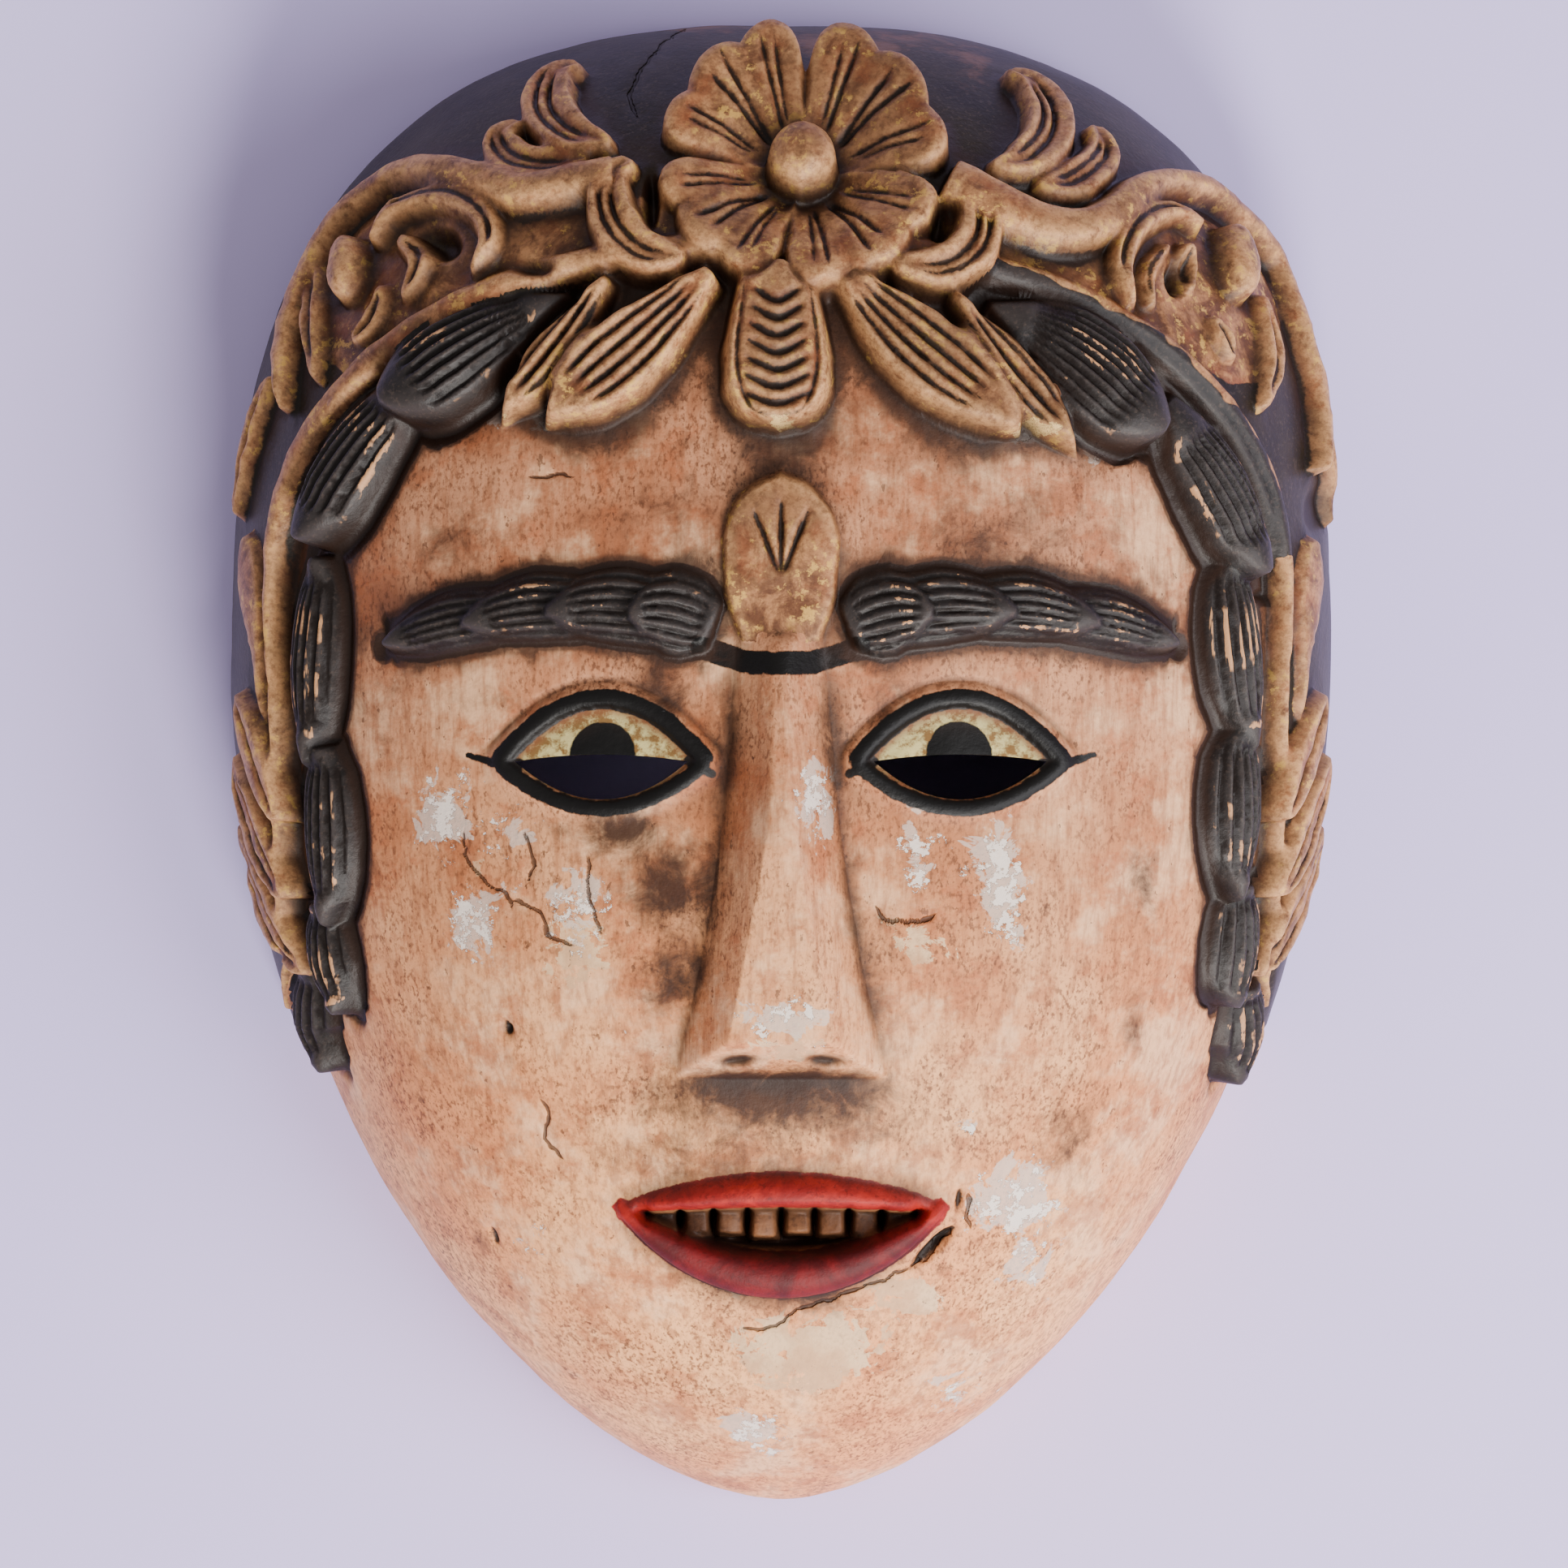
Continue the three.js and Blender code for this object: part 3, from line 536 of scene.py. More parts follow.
# Hair, as measured from straight above: where each lock starts, passes and ends, and its half widths
BROW_LOCKS = [
    ([(-28.5, 63.0), (-40.0, 57.0), (-52.5, 46.8)], [0.8, 3.6, 5.8, 7.1, 7.2, 5.6], 6.2, 7),
    ([(-50.0, 51.5), (-57.4, 41.5), (-63.2, 28.5)], [2.4, 4.8, 5.7, 5.5, 4.0], 5.6, 6),
    ([(28.0, 61.5), (39.6, 54.4), (50.3, 42.6)], [1.2, 4.8, 7.0, 7.8, 7.4, 5.6], 6.2, 9),
    ([(52.0, 48.5), (58.9, 37.0), (63.3, 24.0)], [2.6, 5.0, 5.8, 5.4, 3.8], 5.6, 7),
]
LEFT_CHAIN = [
    ([(-64.0, 27.5), (-64.7, 12.5), (-64.4, -1.4)], [1.4, 3.2, 3.9, 3.9, 3.5, 2.4, 0.8]),
    ([(-63.6, 2.0), (-62.6, -10.9), (-61.9, -22.8)], [1.6, 3.5, 4.1, 4.1, 3.6, 2.6, 0.8]),
    ([(-63.9, -19.0), (-62.4, -27.2), (-59.8, -34.6)], [1.6, 3.5, 4.0, 3.8, 2.6, 0.9]),
    ([(-65.4, -27.5), (-64.2, -35.5), (-61.4, -42.0)], [2.4, 4.2, 4.6, 3.6, 2.0]),
]
RIGHT_CHAIN = [
    ([(62.2, 27.5), (63.1, 13.5), (64.3, 1.0)], [1.6, 3.7, 4.5, 4.5, 4.1, 3.0, 1.0]),
    ([(63.6, 4.5), (62.9, -8.7), (62.1, -19.5)], [1.6, 3.9, 4.5, 4.5, 3.8, 2.6, 0.8]),
    ([(64.0, -16.5), (62.8, -26.0), (61.4, -33.4)], [1.8, 3.9, 4.5, 4.4, 3.8, 2.2]),
    ([(64.8, -30.0), (63.4, -38.0), (61.2, -43.6)], [2.6, 4.4, 4.8, 4.0, 2.4]),
]
# Crowns lean outward on the flank, so the foot of each lock lies this much nearer the middle
CHAIN_LEAN = 1.2
CHANNEL_WIDTH, CHANNEL_DEPTH, BROW_EDGE = 2.6, 0.9, 0.7


def carve_side_lock(block, side, places, half):
    """A lock on the flank: a round back, with its cuts on the side that faces the eye."""
    feet = [seen(x - side * CHAIN_LEAN, y) for x, y in places]
    block.run("hair", feet, rounded(half), [2.4, 3.6, 4.2, 4.2, 3.2], edge=0.7, side=0.1, bow=2.0, swell=0.9,
              grooves=-side * np.linspace(-0.42, 0.74, 5), depth=1.1, groove=0.42, groove_span=(0.03, 0.86))


def carve_lock(block, places, half, crown, marks):
    """A broad lock over the brow, with a fan of even cuts."""
    block.run("hair", places, rounded(half), crown, edge=1.4, side=0.15, bow=2.5, swell=0.8,
              grooves=np.linspace(-0.66, 0.66, marks), depth=1.2, groove=0.42, groove_span=(0.16, 0.84))


def carve_hair(block):
    """Each lock starts low under the one above it and ends high and pointed over the next."""
    for side, chain in ((LEFT, LEFT_CHAIN), (RIGHT, RIGHT_CHAIN)):
        for places, half in reversed(chain):
            carve_side_lock(block, side, places, [1.1 * h for h in half])
    for places, half, high, marks in reversed(BROW_LOCKS):
        carve_lock(block, laid(places), half, [2.0, 0.75 * high, high, high], marks)


def blacken_channels(block):
    """Black runs past the hair on to the skin, into the channel cut beside the side locks: partly black paint
    and partly painted shade, with more painted shade on the skin at its edge.
    """
    x, y, z = block.base.T
    hair = block.paint["hair"]
    beside_chain = smooth(-16, -11, arch_distance(x, y)) * smooth(0.6, -0.2, block.paint["cap"])
    foot = np.exp(-((hair + 1.0) / 0.9) ** 2)
    block.lift -= CHANNEL_DEPTH * foot * beside_chain
    above_foot = smooth(CAP_FOOT_Y + 4, CAP_FOOT_Y + 14, y)
    reach = BROW_EDGE + (CHANNEL_WIDTH - BROW_EDGE) * beside_chain * above_foot
    covered = (block.paint["cap"] > 0) | (block.paint["gilt"] > 0)
    # Painted shade on the skin along the edge of the black
    shadow = smooth(-reach - 1.3, -reach + 0.4, hair) * smooth(0.4, -0.4, hair) * ~covered
    block.mark("ground", 0.8 * shadow)
    # The black reaches past the hair: partly paint and partly painted shade in the channel
    block.paint["hair"] = np.where(covered, hair, np.clip(hair + reach, -FAR, 3))


# The band: where it ends, how far out it runs and how broad it is, over the brow and at the side
BAND_FOOT, BAND_BROW_OUT, BAND_BROW_HALF, BAND_SIDE_OUT, BAND_SIDE_HALF = 0.93, 2.0, 2.1, -0.3, 1.1
BAND_RISE, BAND_RIGHT_FALL, BAND_RIGHT_THIN = 1.6, 0.8, 0.7
# Where black paint hides its inner half
OVERPAINT_X = 22.0


def carve_band(block):
    """The plain ridge that edges the cap round the face."""
    turns = np.linspace(-BAND_FOOT, BAND_FOOT, 41)
    broad = 1 - smooth(0.42, 0.66, np.abs(turns))
    outs = BAND_SIDE_OUT + (BAND_BROW_OUT - BAND_SIDE_OUT) * broad
    line = [arch_point(u, out) for u, out in zip(turns, outs)]
    half = BAND_SIDE_HALF + (BAND_BROW_HALF - BAND_SIDE_HALF) * broad
    high = BAND_RISE - BAND_RIGHT_FALL * smooth(0.05, 0.2, turns)
    half = half - BAND_RIGHT_THIN * broad * smooth(0.1, 0.25, turns)
    block.run("gilt", line, half, high, ground=CAP_LIFT, edge=0.9, side=0.35)
    x, y, z = block.base.T
    hidden = np.where(y > ARCH_SHOULDER_Y + 12, BAND_BROW_OUT + 0.2, BAND_SIDE_OUT - 0.6)
    overpaint = arch_distance(x, y) - hidden
    ragged = 0.7 * noise(block.base, 2.4, 31) + 0.9 * noise(block.base, 7.0, 32)
    overpaint = overpaint + ragged * smooth(ARCH_SHOULDER_Y + 6, ARCH_SHOULDER_Y + 16, y)
    right = x > OVERPAINT_X
    block.paint["gilt"][right] = np.minimum(block.paint["gilt"], overpaint)[right]
    black = np.minimum(np.minimum(-overpaint, arch_distance(x, y) + 1.0), y - ARCH_SHOULDER_Y - 8)
    block.paint["hair"][right] = np.maximum(block.paint["hair"], np.clip(black, -FAR, 3))[right]


# Leaves and scrolls of the cap: the line each one follows, half widths, height, hollow and cuts
FOREHEAD_LEAVES = [
    ([(-23.0, 64.5), (-30.5, 54.5), (-38.0, 45.0)], [1.4, 2.6, 3.5, 3.8, 3.0, 0.8], 2.6, 3),
    ([(23.0, 62.5), (31.0, 52.0), (40.5, 40.5)], [1.4, 2.6, 3.5, 3.8, 2.8, 0.6], 2.6, 3),
    ([(-9.0, 65.0), (-20.0, 55.0), (-32.0, 44.5)], [2.0, 3.8, 5.4, 6.0, 5.0, 1.6], 3.2, 4),
    ([(7.5, 65.5), (18.0, 55.5), (32.5, 43.5)], [2.0, 4.0, 5.7, 6.1, 4.8, 2.6], 3.2, 4),
]
SCROLLS = [
    ([(-22.0, 77.5), (-33.5, 75.3), (-38.5, 76.6), (-45.0, 78.2), (-50.0, 77.6), (-54.0, 75.0),
      (-58.5, 70.5), (-62.0, 64.0), (-64.5, 56.5), (-65.0, 46.5)],
     [3.2, 2.8, 2.7, 2.7, 2.5, 2.2, 2.1, 2.4, 2.3, 0.9], 3.4),
    ([(22.0, 77.0), (32.5, 71.8), (38.5, 70.6), (43.0, 72.0), (46.5, 75.3), (50.5, 76.6), (55.5, 75.5),
      (60.5, 71.5), (64.5, 66.0), (67.5, 58.0), (70.0, 48.0), (70.5, 38.5)],
     [3.6, 3.5, 3.2, 2.7, 2.3, 2.1, 2.0, 2.0, 2.2, 2.4, 2.2, 0.9], 3.4),
    ([(-53.5, 68.5), (-50.5, 73.0), (-44.5, 74.8), (-39.6, 72.5), (-38.4, 68.5), (-41.0, 65.0)],
     [1.0, 1.9, 2.1, 2.1, 1.9, 0.8], 3.0),
    ([(46.4, 60.5), (44.8, 66.0), (46.8, 71.0), (51.0, 72.8), (55.0, 70.6)], [0.9, 2.0, 2.1, 2.0, 0.9], 3.0),
    ([(49.0, 60.5), (48.6, 65.0), (51.0, 68.6)], [0.8, 1.4, 0.8], 2.4),
]
CAP_LEAVES = [
    ([(-25.4, 91.8), (-29.6, 90.0), (-30.6, 86.2), (-27.6, 82.8), (-21.5, 81.0)],
     [2.2, 3.5, 3.8, 3.4, 1.6], 3.4),
    ([(-33.5, 84.8), (-36.8, 82.4), (-34.6, 79.6), (-29.0, 79.0), (-24.5, 80.0)],
     [1.8, 3.0, 3.1, 2.6, 1.4], 2.8),
    ([(28.8, 91.2), (33.6, 88.4), (35.4, 83.8), (32.4, 79.6), (26.8, 78.0)], [2.0, 3.3, 3.6, 3.2, 1.6], 3.4),
    ([(40.6, 84.4), (42.4, 80.4), (38.6, 76.8), (33.0, 75.8)], [1.8, 2.9, 3.0, 1.6], 2.8),
    ([(-19.0, 79.6), (-22.4, 76.5), (-22.0, 71.5), (-18.4, 67.6), (-12.0, 66.0)],
     [2.0, 3.1, 3.5, 3.2, 1.8], 3.6),
    ([(14.0, 65.6), (21.4, 65.4), (25.6, 68.6), (25.8, 73.0), (22.0, 76.5)], [1.8, 3.0, 3.4, 3.0, 1.8], 3.6),
    ([(-50.5, 69.6), (-47.6, 66.8), (-50.0, 61.0)], [1.4, 2.1, 1.0], 2.6),
    ([(53.5, 69.0), (54.2, 62.6)], [1.3, 1.9, 0.9], 2.6),
    ([(-52.5, 63.8), (-53.8, 59.0), (-56.8, 55.4)], [1.0, 1.9, 1.2], 2.2),
    ([(57.0, 59.6), (60.0, 53.0)], [1.0, 1.8, 0.9], 2.2),
    ([(-60.5, 66.5), (-61.6, 58.5), (-61.0, 50.0)], [1.2, 2.4, 1.0], 2.8),
    ([(62.6, 62.6), (64.6, 54.5), (63.6, 46.5)], [1.2, 2.4, 1.0], 2.8),
    ([(-66.5, 52.0), (-69.6, 43.5), (-71.5, 32.0)], [1.2, 2.6, 1.0], 2.6),
    ([(71.0, 50.5), (73.0, 41.0), (73.0, 31.0)], [1.2, 2.6, 1.0], 2.6),
]
TEARS = [
    ([(-70.4, 31.0), (-70.3, 24.0), (-69.2, 15.5), (-68.4, 5.0)], [2.6, 4.4, 4.0, 2.2, 1.2, 0.9], 1.5),
    ([(70.2, 30.5), (70.2, 24.0), (69.3, 15.5), (68.6, 5.0)], [2.6, 4.4, 4.0, 2.2, 1.2, 0.9], 1.5),
]
BUDS = [
    ([(-56.2, 69.6), (-56.8, 60.6)], 2.9, 4.4),
    ([(58.6, 71.0), (60.2, 61.0)], 3.4, 4.4),
]
# Deep round pits between the scrolls: where each one is, its half sizes and its depth
PITS = [(-44.5, 68.0, 2.6, 2.0, 2.6), (51.5, 63.8, 1.3, 2.2, 2.6), (-68.6, -15.0, 1.0, 3.2, 1.6),
        (69.4, 33.4, 1.3, 3.0, 1.0), (-32.0, 64.5, 2.5, 0.9, 2.6), (-17.0, 73.6, 0.9, 3.0, 2.6),
        (20.6, 70.4, 1.1, 2.2, 2.2)]


def carve_scrolls(block):
    """The scrolls and leaves that fill the cap on each side of the flower."""
    for places, half, high in CAP_LEAVES:
        marks = (-0.35, 0.1) if max(half) > 2.9 else (0.0,)
        block.run("gilt", laid(places), both_ends(half), [high] * 4, ground=CAP_LIFT, edge=0.8,
                  side=0.75, hollow=0.3, grooves=marks, depth=1.0, groove_span=(0.16, 0.86))
    for places, half, high in SCROLLS:
        marks = (0.15,) if len(places) < 7 else ()
        block.run("gilt", laid(places), half, [high] * 4, ground=CAP_LIFT, edge=0.9, side=0.45,
                  grooves=marks, depth=1.1)
    for places, half, high in TEARS:
        block.run("gilt", laid(places), both_ends(half), [high] * 4, ground=CAP_LIFT, edge=1.1, side=0.3)
    for places, half, high in BUDS:
        s = 2 * np.linspace(0, 1, 16) - 1
        wide, tall = half * np.sqrt(1 - s ** 2), high * np.sqrt(1 - s ** 4)
        block.run("gilt", laid(places), wide, tall, ground=CAP_LIFT, edge=0.8, side=0.2)


def carve_flanks(block):
    """The short overlapping leaves that run down each flank of the cap, behind the band."""
    leaves = [
        ([(-7, 17.0), (-13, 19.5), (-20, 23.5), (-28, 29)], [0.8, 3.6, 4.4, 3.4, 1.4], 2.2, (-0.3, 0.35)),
        ([(2, 20.0), (-4, 22.5), (-11, 26.5), (-18, 31)], [0.8, 3.4, 4.2, 3.2, 1.2], 2.5, (-0.3, 0.35)),
        ([(10, 24.0), (5, 27.0), (-1, 30.0), (-8, 33)], [0.7, 3.0, 3.8, 3.0, 1.2], 2.7, (0.0,)),
    ]
    for side in (LEFT, RIGHT):
        for places, half, high, marks in leaves:
            line = [beside(side, y, z) for y, z in places]
            block.run("gilt", line, both_ends(half), [high] * 4, ground=CAP_LIFT,
                      edge=0.8, side=0.7, hollow=0.25, grooves=marks, depth=0.9)


def pierce(block):
    """The deep pits that the knife left between the scrolls."""
    place = outlook(block)
    for x, y, wide, tall, depth in PITS:
        away = ((place[:, 0] - x) / wide) ** 2 + ((place[:, 1] - y) / tall) ** 2
        pit = np.exp(-away ** 2)
        block.lift -= depth * pit
        # Each pit is marked dark: painted shade and dirt
        block.mark("crevice_shade_and_dirt", pit)


# The ridged tongue over the forehead: where it hangs, how high it stands, and its rows of cuts
TONGUE_X, TONGUE_RISE, TONGUE_ROWS, TONGUE_TOP, TONGUE_PITCH = -0.5, 3.8, 7, 61.0, 2.2


def carve_forehead(block):
    """The leaves that hang over the forehead and the ridged tongue between them."""
    for places, half, high, marks in FOREHEAD_LEAVES:
        block.run("gilt", laid(places), rounded(half), [high, high, high * 1.2], ground=CAP_LIFT,
                  edge=1.6, side=0.8, hollow=0.25,
                  grooves=np.linspace(-0.5, 0.5, marks), depth=1.3, groove=0.4,
                  groove_span=(0.1, 0.8))
    tongue = laid([(TONGUE_X, 66), (TONGUE_X, 54), (TONGUE_X, 44)])
    half = rounded([5.0, 6.2, 7.3, 7.7, 7.0])
    block.run("gilt", tongue, half, [TONGUE_RISE] * 3, ground=CAP_LIFT, edge=1.6, side=0.6)
    for edge in (LEFT, RIGHT):
        rim = [(TONGUE_X + edge * out, y) for out, y in ((4.2, 63.5), (5.3, 53), (3.4, 46.6), (0, 45.8))]
        block.cut(laid(rim), 0.6, 0.4, 0.6)
    for i in range(TONGUE_ROWS):
        row = TONGUE_TOP - TONGUE_PITCH * i
        ends = 2.9 + 0.25 * i
        bow = [(TONGUE_X - ends, row + 0.9), (TONGUE_X, row - 0.6), (TONGUE_X + ends, row + 0.9)]
        block.cut(laid(bow), 1.3, 0.5)


# The flower: its centre on the block, how it leans, and the notches between its petals in degrees
FLOWER_CENTRE = (2.7, 77.7, 49.4)
FLOWER_RADIUS, FLOWER_LEAN, FLOWER_CUP, FLOWER_BALL = 19.0, 30.0, 3.2, 4.5
PETALS = [(-8, 88), (88, 177), (177, 260), (260, 352)]
PETAL_CUT_DEPTH, PETAL_CUT_HALF, SEAM_DEPTH, SEAM_HALF = 0.9, 0.36, 1.3, 0.6
# How the cup rises from the middle to the rim, and the cuts of a petal: place, start, end and strength
CUP_AT, CUP_RISE = [0, 0.2, 0.32, 0.6, 0.88, 1.0], [-FLOWER_CUP, -FLOWER_CUP, -2.4, 0.2, 1.3, 0.6]
PETAL_CUTS = [(0.18, 0.42, 0.8, 0.7), (0.25, 0.38, 0.84, 0.8), (0.46, 0.34, 0.86, 1.0),
              (0.54, 0.34, 0.8, 1.0), (0.74, 0.38, 0.84, 0.8), (0.81, 0.42, 0.78, 0.7)]


def petal_reach(angle):
    """How far the petals reach in each direction: each has three lobes, the outer two rounder."""
    reach = np.zeros(len(angle))
    turn = (np.degrees(angle) + 8) % 360 - 8
    for start, end in PETALS:
        f = (turn - start) / (end - start)
        inside = (f >= 0) & (f < 1)
        lobes = 0.93 + 0.07 * np.abs(np.sin(3 * np.pi * f)) ** 0.7
        notch = 1 - 0.24 * (np.exp(-f / 0.05) + np.exp(-(1 - f) / 0.05))
        reach = np.where(inside, lobes * notch, reach)
    return FLOWER_RADIUS * reach


def carve_flower(block):
    """A flower cut on a leaning plane: a cup with a ball in it and petals cut with pairs of lines."""
    centre = np.array(FLOWER_CENTRE)
    lean = math.radians(FLOWER_LEAN)
    across, up = np.array([1, 0, 0]), np.array([0, math.cos(lean), -math.sin(lean)])
    out = np.array([0, math.sin(lean), math.cos(lean)])
    near = np.flatnonzero(np.linalg.norm(block.base - centre, axis=1) < FLOWER_RADIUS + 8)
    offset = block.base[near] - centre
    a, b, c = offset @ across, offset @ up, offset @ out
    r, angle = np.hypot(a, b), np.arctan2(b, a)
    reach = petal_reach(angle)
    share = r / reach
    inside = reach - r
    turn = (np.degrees(angle) + 8) % 360 - 8
    petal = np.interp(share, CUP_AT, CUP_RISE)
    cuts = np.full(len(near), -FAR)
    for start, end in PETALS:
        f = (turn - start) / (end - start)
        member = (f >= 0) & (f < 1)
        ripple = 0.45 * np.abs(np.sin(3 * np.pi * f)) ** 0.8
        belly = 0.9 * np.sin(np.pi * np.clip(f, 0, 1)) ** 0.5 - 0.9 + ripple
        petal += np.where(member, belly * smooth(0.3, 0.7, share), 0)
        for mark, first, last, strength in PETAL_CUTS:
            bend = mark + 0.05 * (share - 0.6) * np.sign(mark - 0.5)
            away = np.radians((f - bend) * (end - start)) * r
            opened = smooth(first - 0.06, first + 0.04, share)
            closed = 1 - smooth(last - 0.06, last + 0.04, share)
            window = member * (opened * closed) * strength
            petal -= PETAL_CUT_DEPTH * window * np.exp(-(away / PETAL_CUT_HALF) ** 2)
            cuts = np.maximum(cuts, np.where(window > 0, CUT_HALF * window - np.abs(away), -FAR))
        seam = np.abs(np.radians(f * (end - start))) * r
        petal -= SEAM_DEPTH * np.exp(-(seam / SEAM_HALF) ** 2) * smooth(0.4, 0.7, share)
    ball = np.sqrt(np.clip(FLOWER_BALL ** 2 - r ** 2, 0, None))
    petal = np.where(r < FLOWER_BALL, np.maximum(petal, ball - 0.4), petal)
    tip = np.hypot(a - 1.2, b + 2.6)
    petal += 0.9 * np.clip(1 - tip / 1.3, 0, 1) ** 1.5
    facing = np.maximum(block.normal[near] @ out, 0.3)
    raised = (petal - c) / facing
    shoulder = np.clip(inside / 0.9, 0, 1)
    won = inside > 0
    floor = np.minimum(block.lift[near], CAP_LIFT + 1)
    block.lift[near[won]] = -9
    block.claim(near, inside, floor + (raised - floor) * shoulder * (2 - shoulder), "gilt", cuts)


# The knife flats: how high they stand, how broad they are, and how much the smaller ones add
FLAT_RISE, BROAD_FLATS, SMALL_FLATS, SMALL_SHARE = 0.17, 4.2, 2.1, 0.6


def facet(block):
    """The small flats that the knife left on the ornament."""
    gilt = smooth(0.3, 1.2, block.paint["gilt"])
    broad = 1 - 2 * np.abs(noise(block.base, BROAD_FLATS, 51))
    small = 1 - 2 * np.abs(noise(block.base, SMALL_FLATS, 52))
    block.lift += FLAT_RISE * (broad + SMALL_SHARE * small) * gilt


def outlook(block):
    """Where each place of the block shows from the eye height, in the plane of the outline."""
    x, y, z = block.base.T
    k = (EYE_HEIGHT - OUTLINE_HEIGHT) / (EYE_HEIGHT - z)
    return np.stack([x * k, y * k], 1)


# Flat gilt grounds of the cap, between the scrolls and the band
GILT_FIELDS = [
    [(-8, 80), (-24, 79), (-38, 78), (-47, 79), (-55, 74), (-60, 66), (-60, 54), (-55, 50), (-44, 60),
     (-30, 66), (-8, 70)],
    [(8, 80), (24, 78), (38, 72), (44, 74), (52, 77), (60, 73), (65, 62), (64, 50), (58, 50), (46, 58),
     (30, 64), (8, 70)],
]


def gild_fields(block):
    """Flat gilt on the cap between the band and the two stems, and none on the flank below a stem."""
    place = outlook(block)
    for loop, (stem, *_) in zip(GILT_FIELDS, SCROLLS):
        loop = np.array(loop, float)
        stem = np.array(laid(stem))
        near = np.flatnonzero(((place > loop.min(0) - 3) & (place < loop.max(0) + 3)).all(1))
        x, y, z = block.base[near].T
        above = z - np.interp(np.abs(x), np.abs(stem[:, 0]), stem[:, 2])
        inside = np.minimum(outline_distance(place[near], loop), block.paint["cap"][near])
        inside = np.minimum(inside, above)
        block.mark("gilt", np.clip(inside, -3, 3), near)


# The teeth are uneven, as cut by hand: their reach, gaps, edges and faces, and how the row bends back
TOOTH_UNEVEN, TOOTH_GAP, TOOTH_GAP_GROWS, TOOTH_EDGE, MOUTH_BEND = 0.25, 0.1, 0.07, 0.6, 1.2
TOOTH_TILT, TOOTH_BELLY, TOOTH_LEAN = 0.22, 0.1, 0.22


def carve_mouth(block, place):
    """The parted lips open on a deep pocket, cut straight in, with a row of teeth under the upper lip."""
    near = np.flatnonzero((np.abs(place[:, 0]) < MOUTH_HALF + 4) & (np.abs(place[:, 1] - MOUTH_Y) < 12))
    x, y = place[near, 0], place[near, 1] - MOUTH_Y
    inside = outline_distance(np.stack([x, y - MOUTH_CURL * (x / MOUTH_HALF) ** 2], 1),
                              almond(MOUTH_HALF, MOUTH_UPPER, MOUTH_LOWER))
    pocket = smooth(-0.3, 1.1, inside)
    pitch = 2 * TOOTH_SPAN / TOOTH_COUNT
    column = np.clip(np.floor((x + TOOTH_SPAN) / pitch), 0, TOOTH_COUNT - 1)
    across = x + TOOTH_SPAN - (column + 0.5) * pitch
    reach = TOOTH_REACH + TOOTH_UNEVEN * np.sin(2.4 * column + 1.0) - MOUTH_BEND * (x / MOUTH_HALF) ** 2
    down = y + reach
    gap = TOOTH_GAP + TOOTH_GAP * np.sin(1.3 * column) ** 2 + TOOTH_GAP_GROWS * np.clip(y + 1.0, 0, 4)
    tooth = np.minimum(pitch / 2 - gap - np.abs(across), down)
    shape = np.clip(tooth / TOOTH_EDGE, 0, 1)
    shape = shape * (2 - shape)
    tilt = TOOTH_TILT * np.sin(1.7 * column + 0.4) * across
    face = tilt - TOOTH_BELLY * across ** 2 - TOOTH_LEAN * np.clip(y, -2, 3)
    lip_height = float(front_height(np.float64(0), np.float64(MOUTH_Y)))
    floor = lip_height - MOUTH_DEPTH - MOUTH_BEND * (x / MOUTH_HALF) ** 2
    bottom = floor + shape * (TOOTH_RISE + face)
    place[near, 2] = place[near, 2] * (1 - pocket) + np.minimum(bottom, place[near, 2]) * pocket
    block.mark("mouth", smooth(0.25, 0.6, inside), near)
    block.paint["teeth"][near] = np.minimum(np.clip(tooth, -3, 3), np.clip(inside - 0.4, -3, 3))


# Wear, with painted shade among the stains: where it shows, how wide and how tall each place is, and how
# strong
FLAKES = [(-45, -7, 5, 9, 1.0), (-41, -21, 5, 6, 1.05), (-36, -11, 8, 8, 0.7), (4, -4, 4, 6, 1.05),
          (0, -33, 9, 4, 0.9), (5, -10, 2, 4, 1), (29, -15, 6, 8, 1.05), (31, -23, 4, 4, 0.9),
          (31, -58, 9, 8, 1), (33, -67, 4, 7, 0.9), (-27, -20, 6, 8, 0.9), (18, -12, 3, 9, 1),
          (24, -48, 3, 3, 0.9), (-33, -64, 4, 6, 0.7), (-3, -88, 6, 4, 1), (24, -84, 8, 4, 0.65),
          (12, -80, 7, 3, 0.6), (-14, -35, 3, 4, 0.5), (-44, 11, 4, 3, 0.5), (0, -24, 3, 3, 0.8),
          (-24, -37, 6, 4, 0.4), (12, -36, 4, 3, 0.35), (33, 43.5, 4, 2, 1), (42, 41, 3, 2, 0.9),
          (-31, 45.5, 3, 2, 0.9), (-38, 46, 3, 2, 0.8), (0, 44.5, 4, 2, 0.8)]
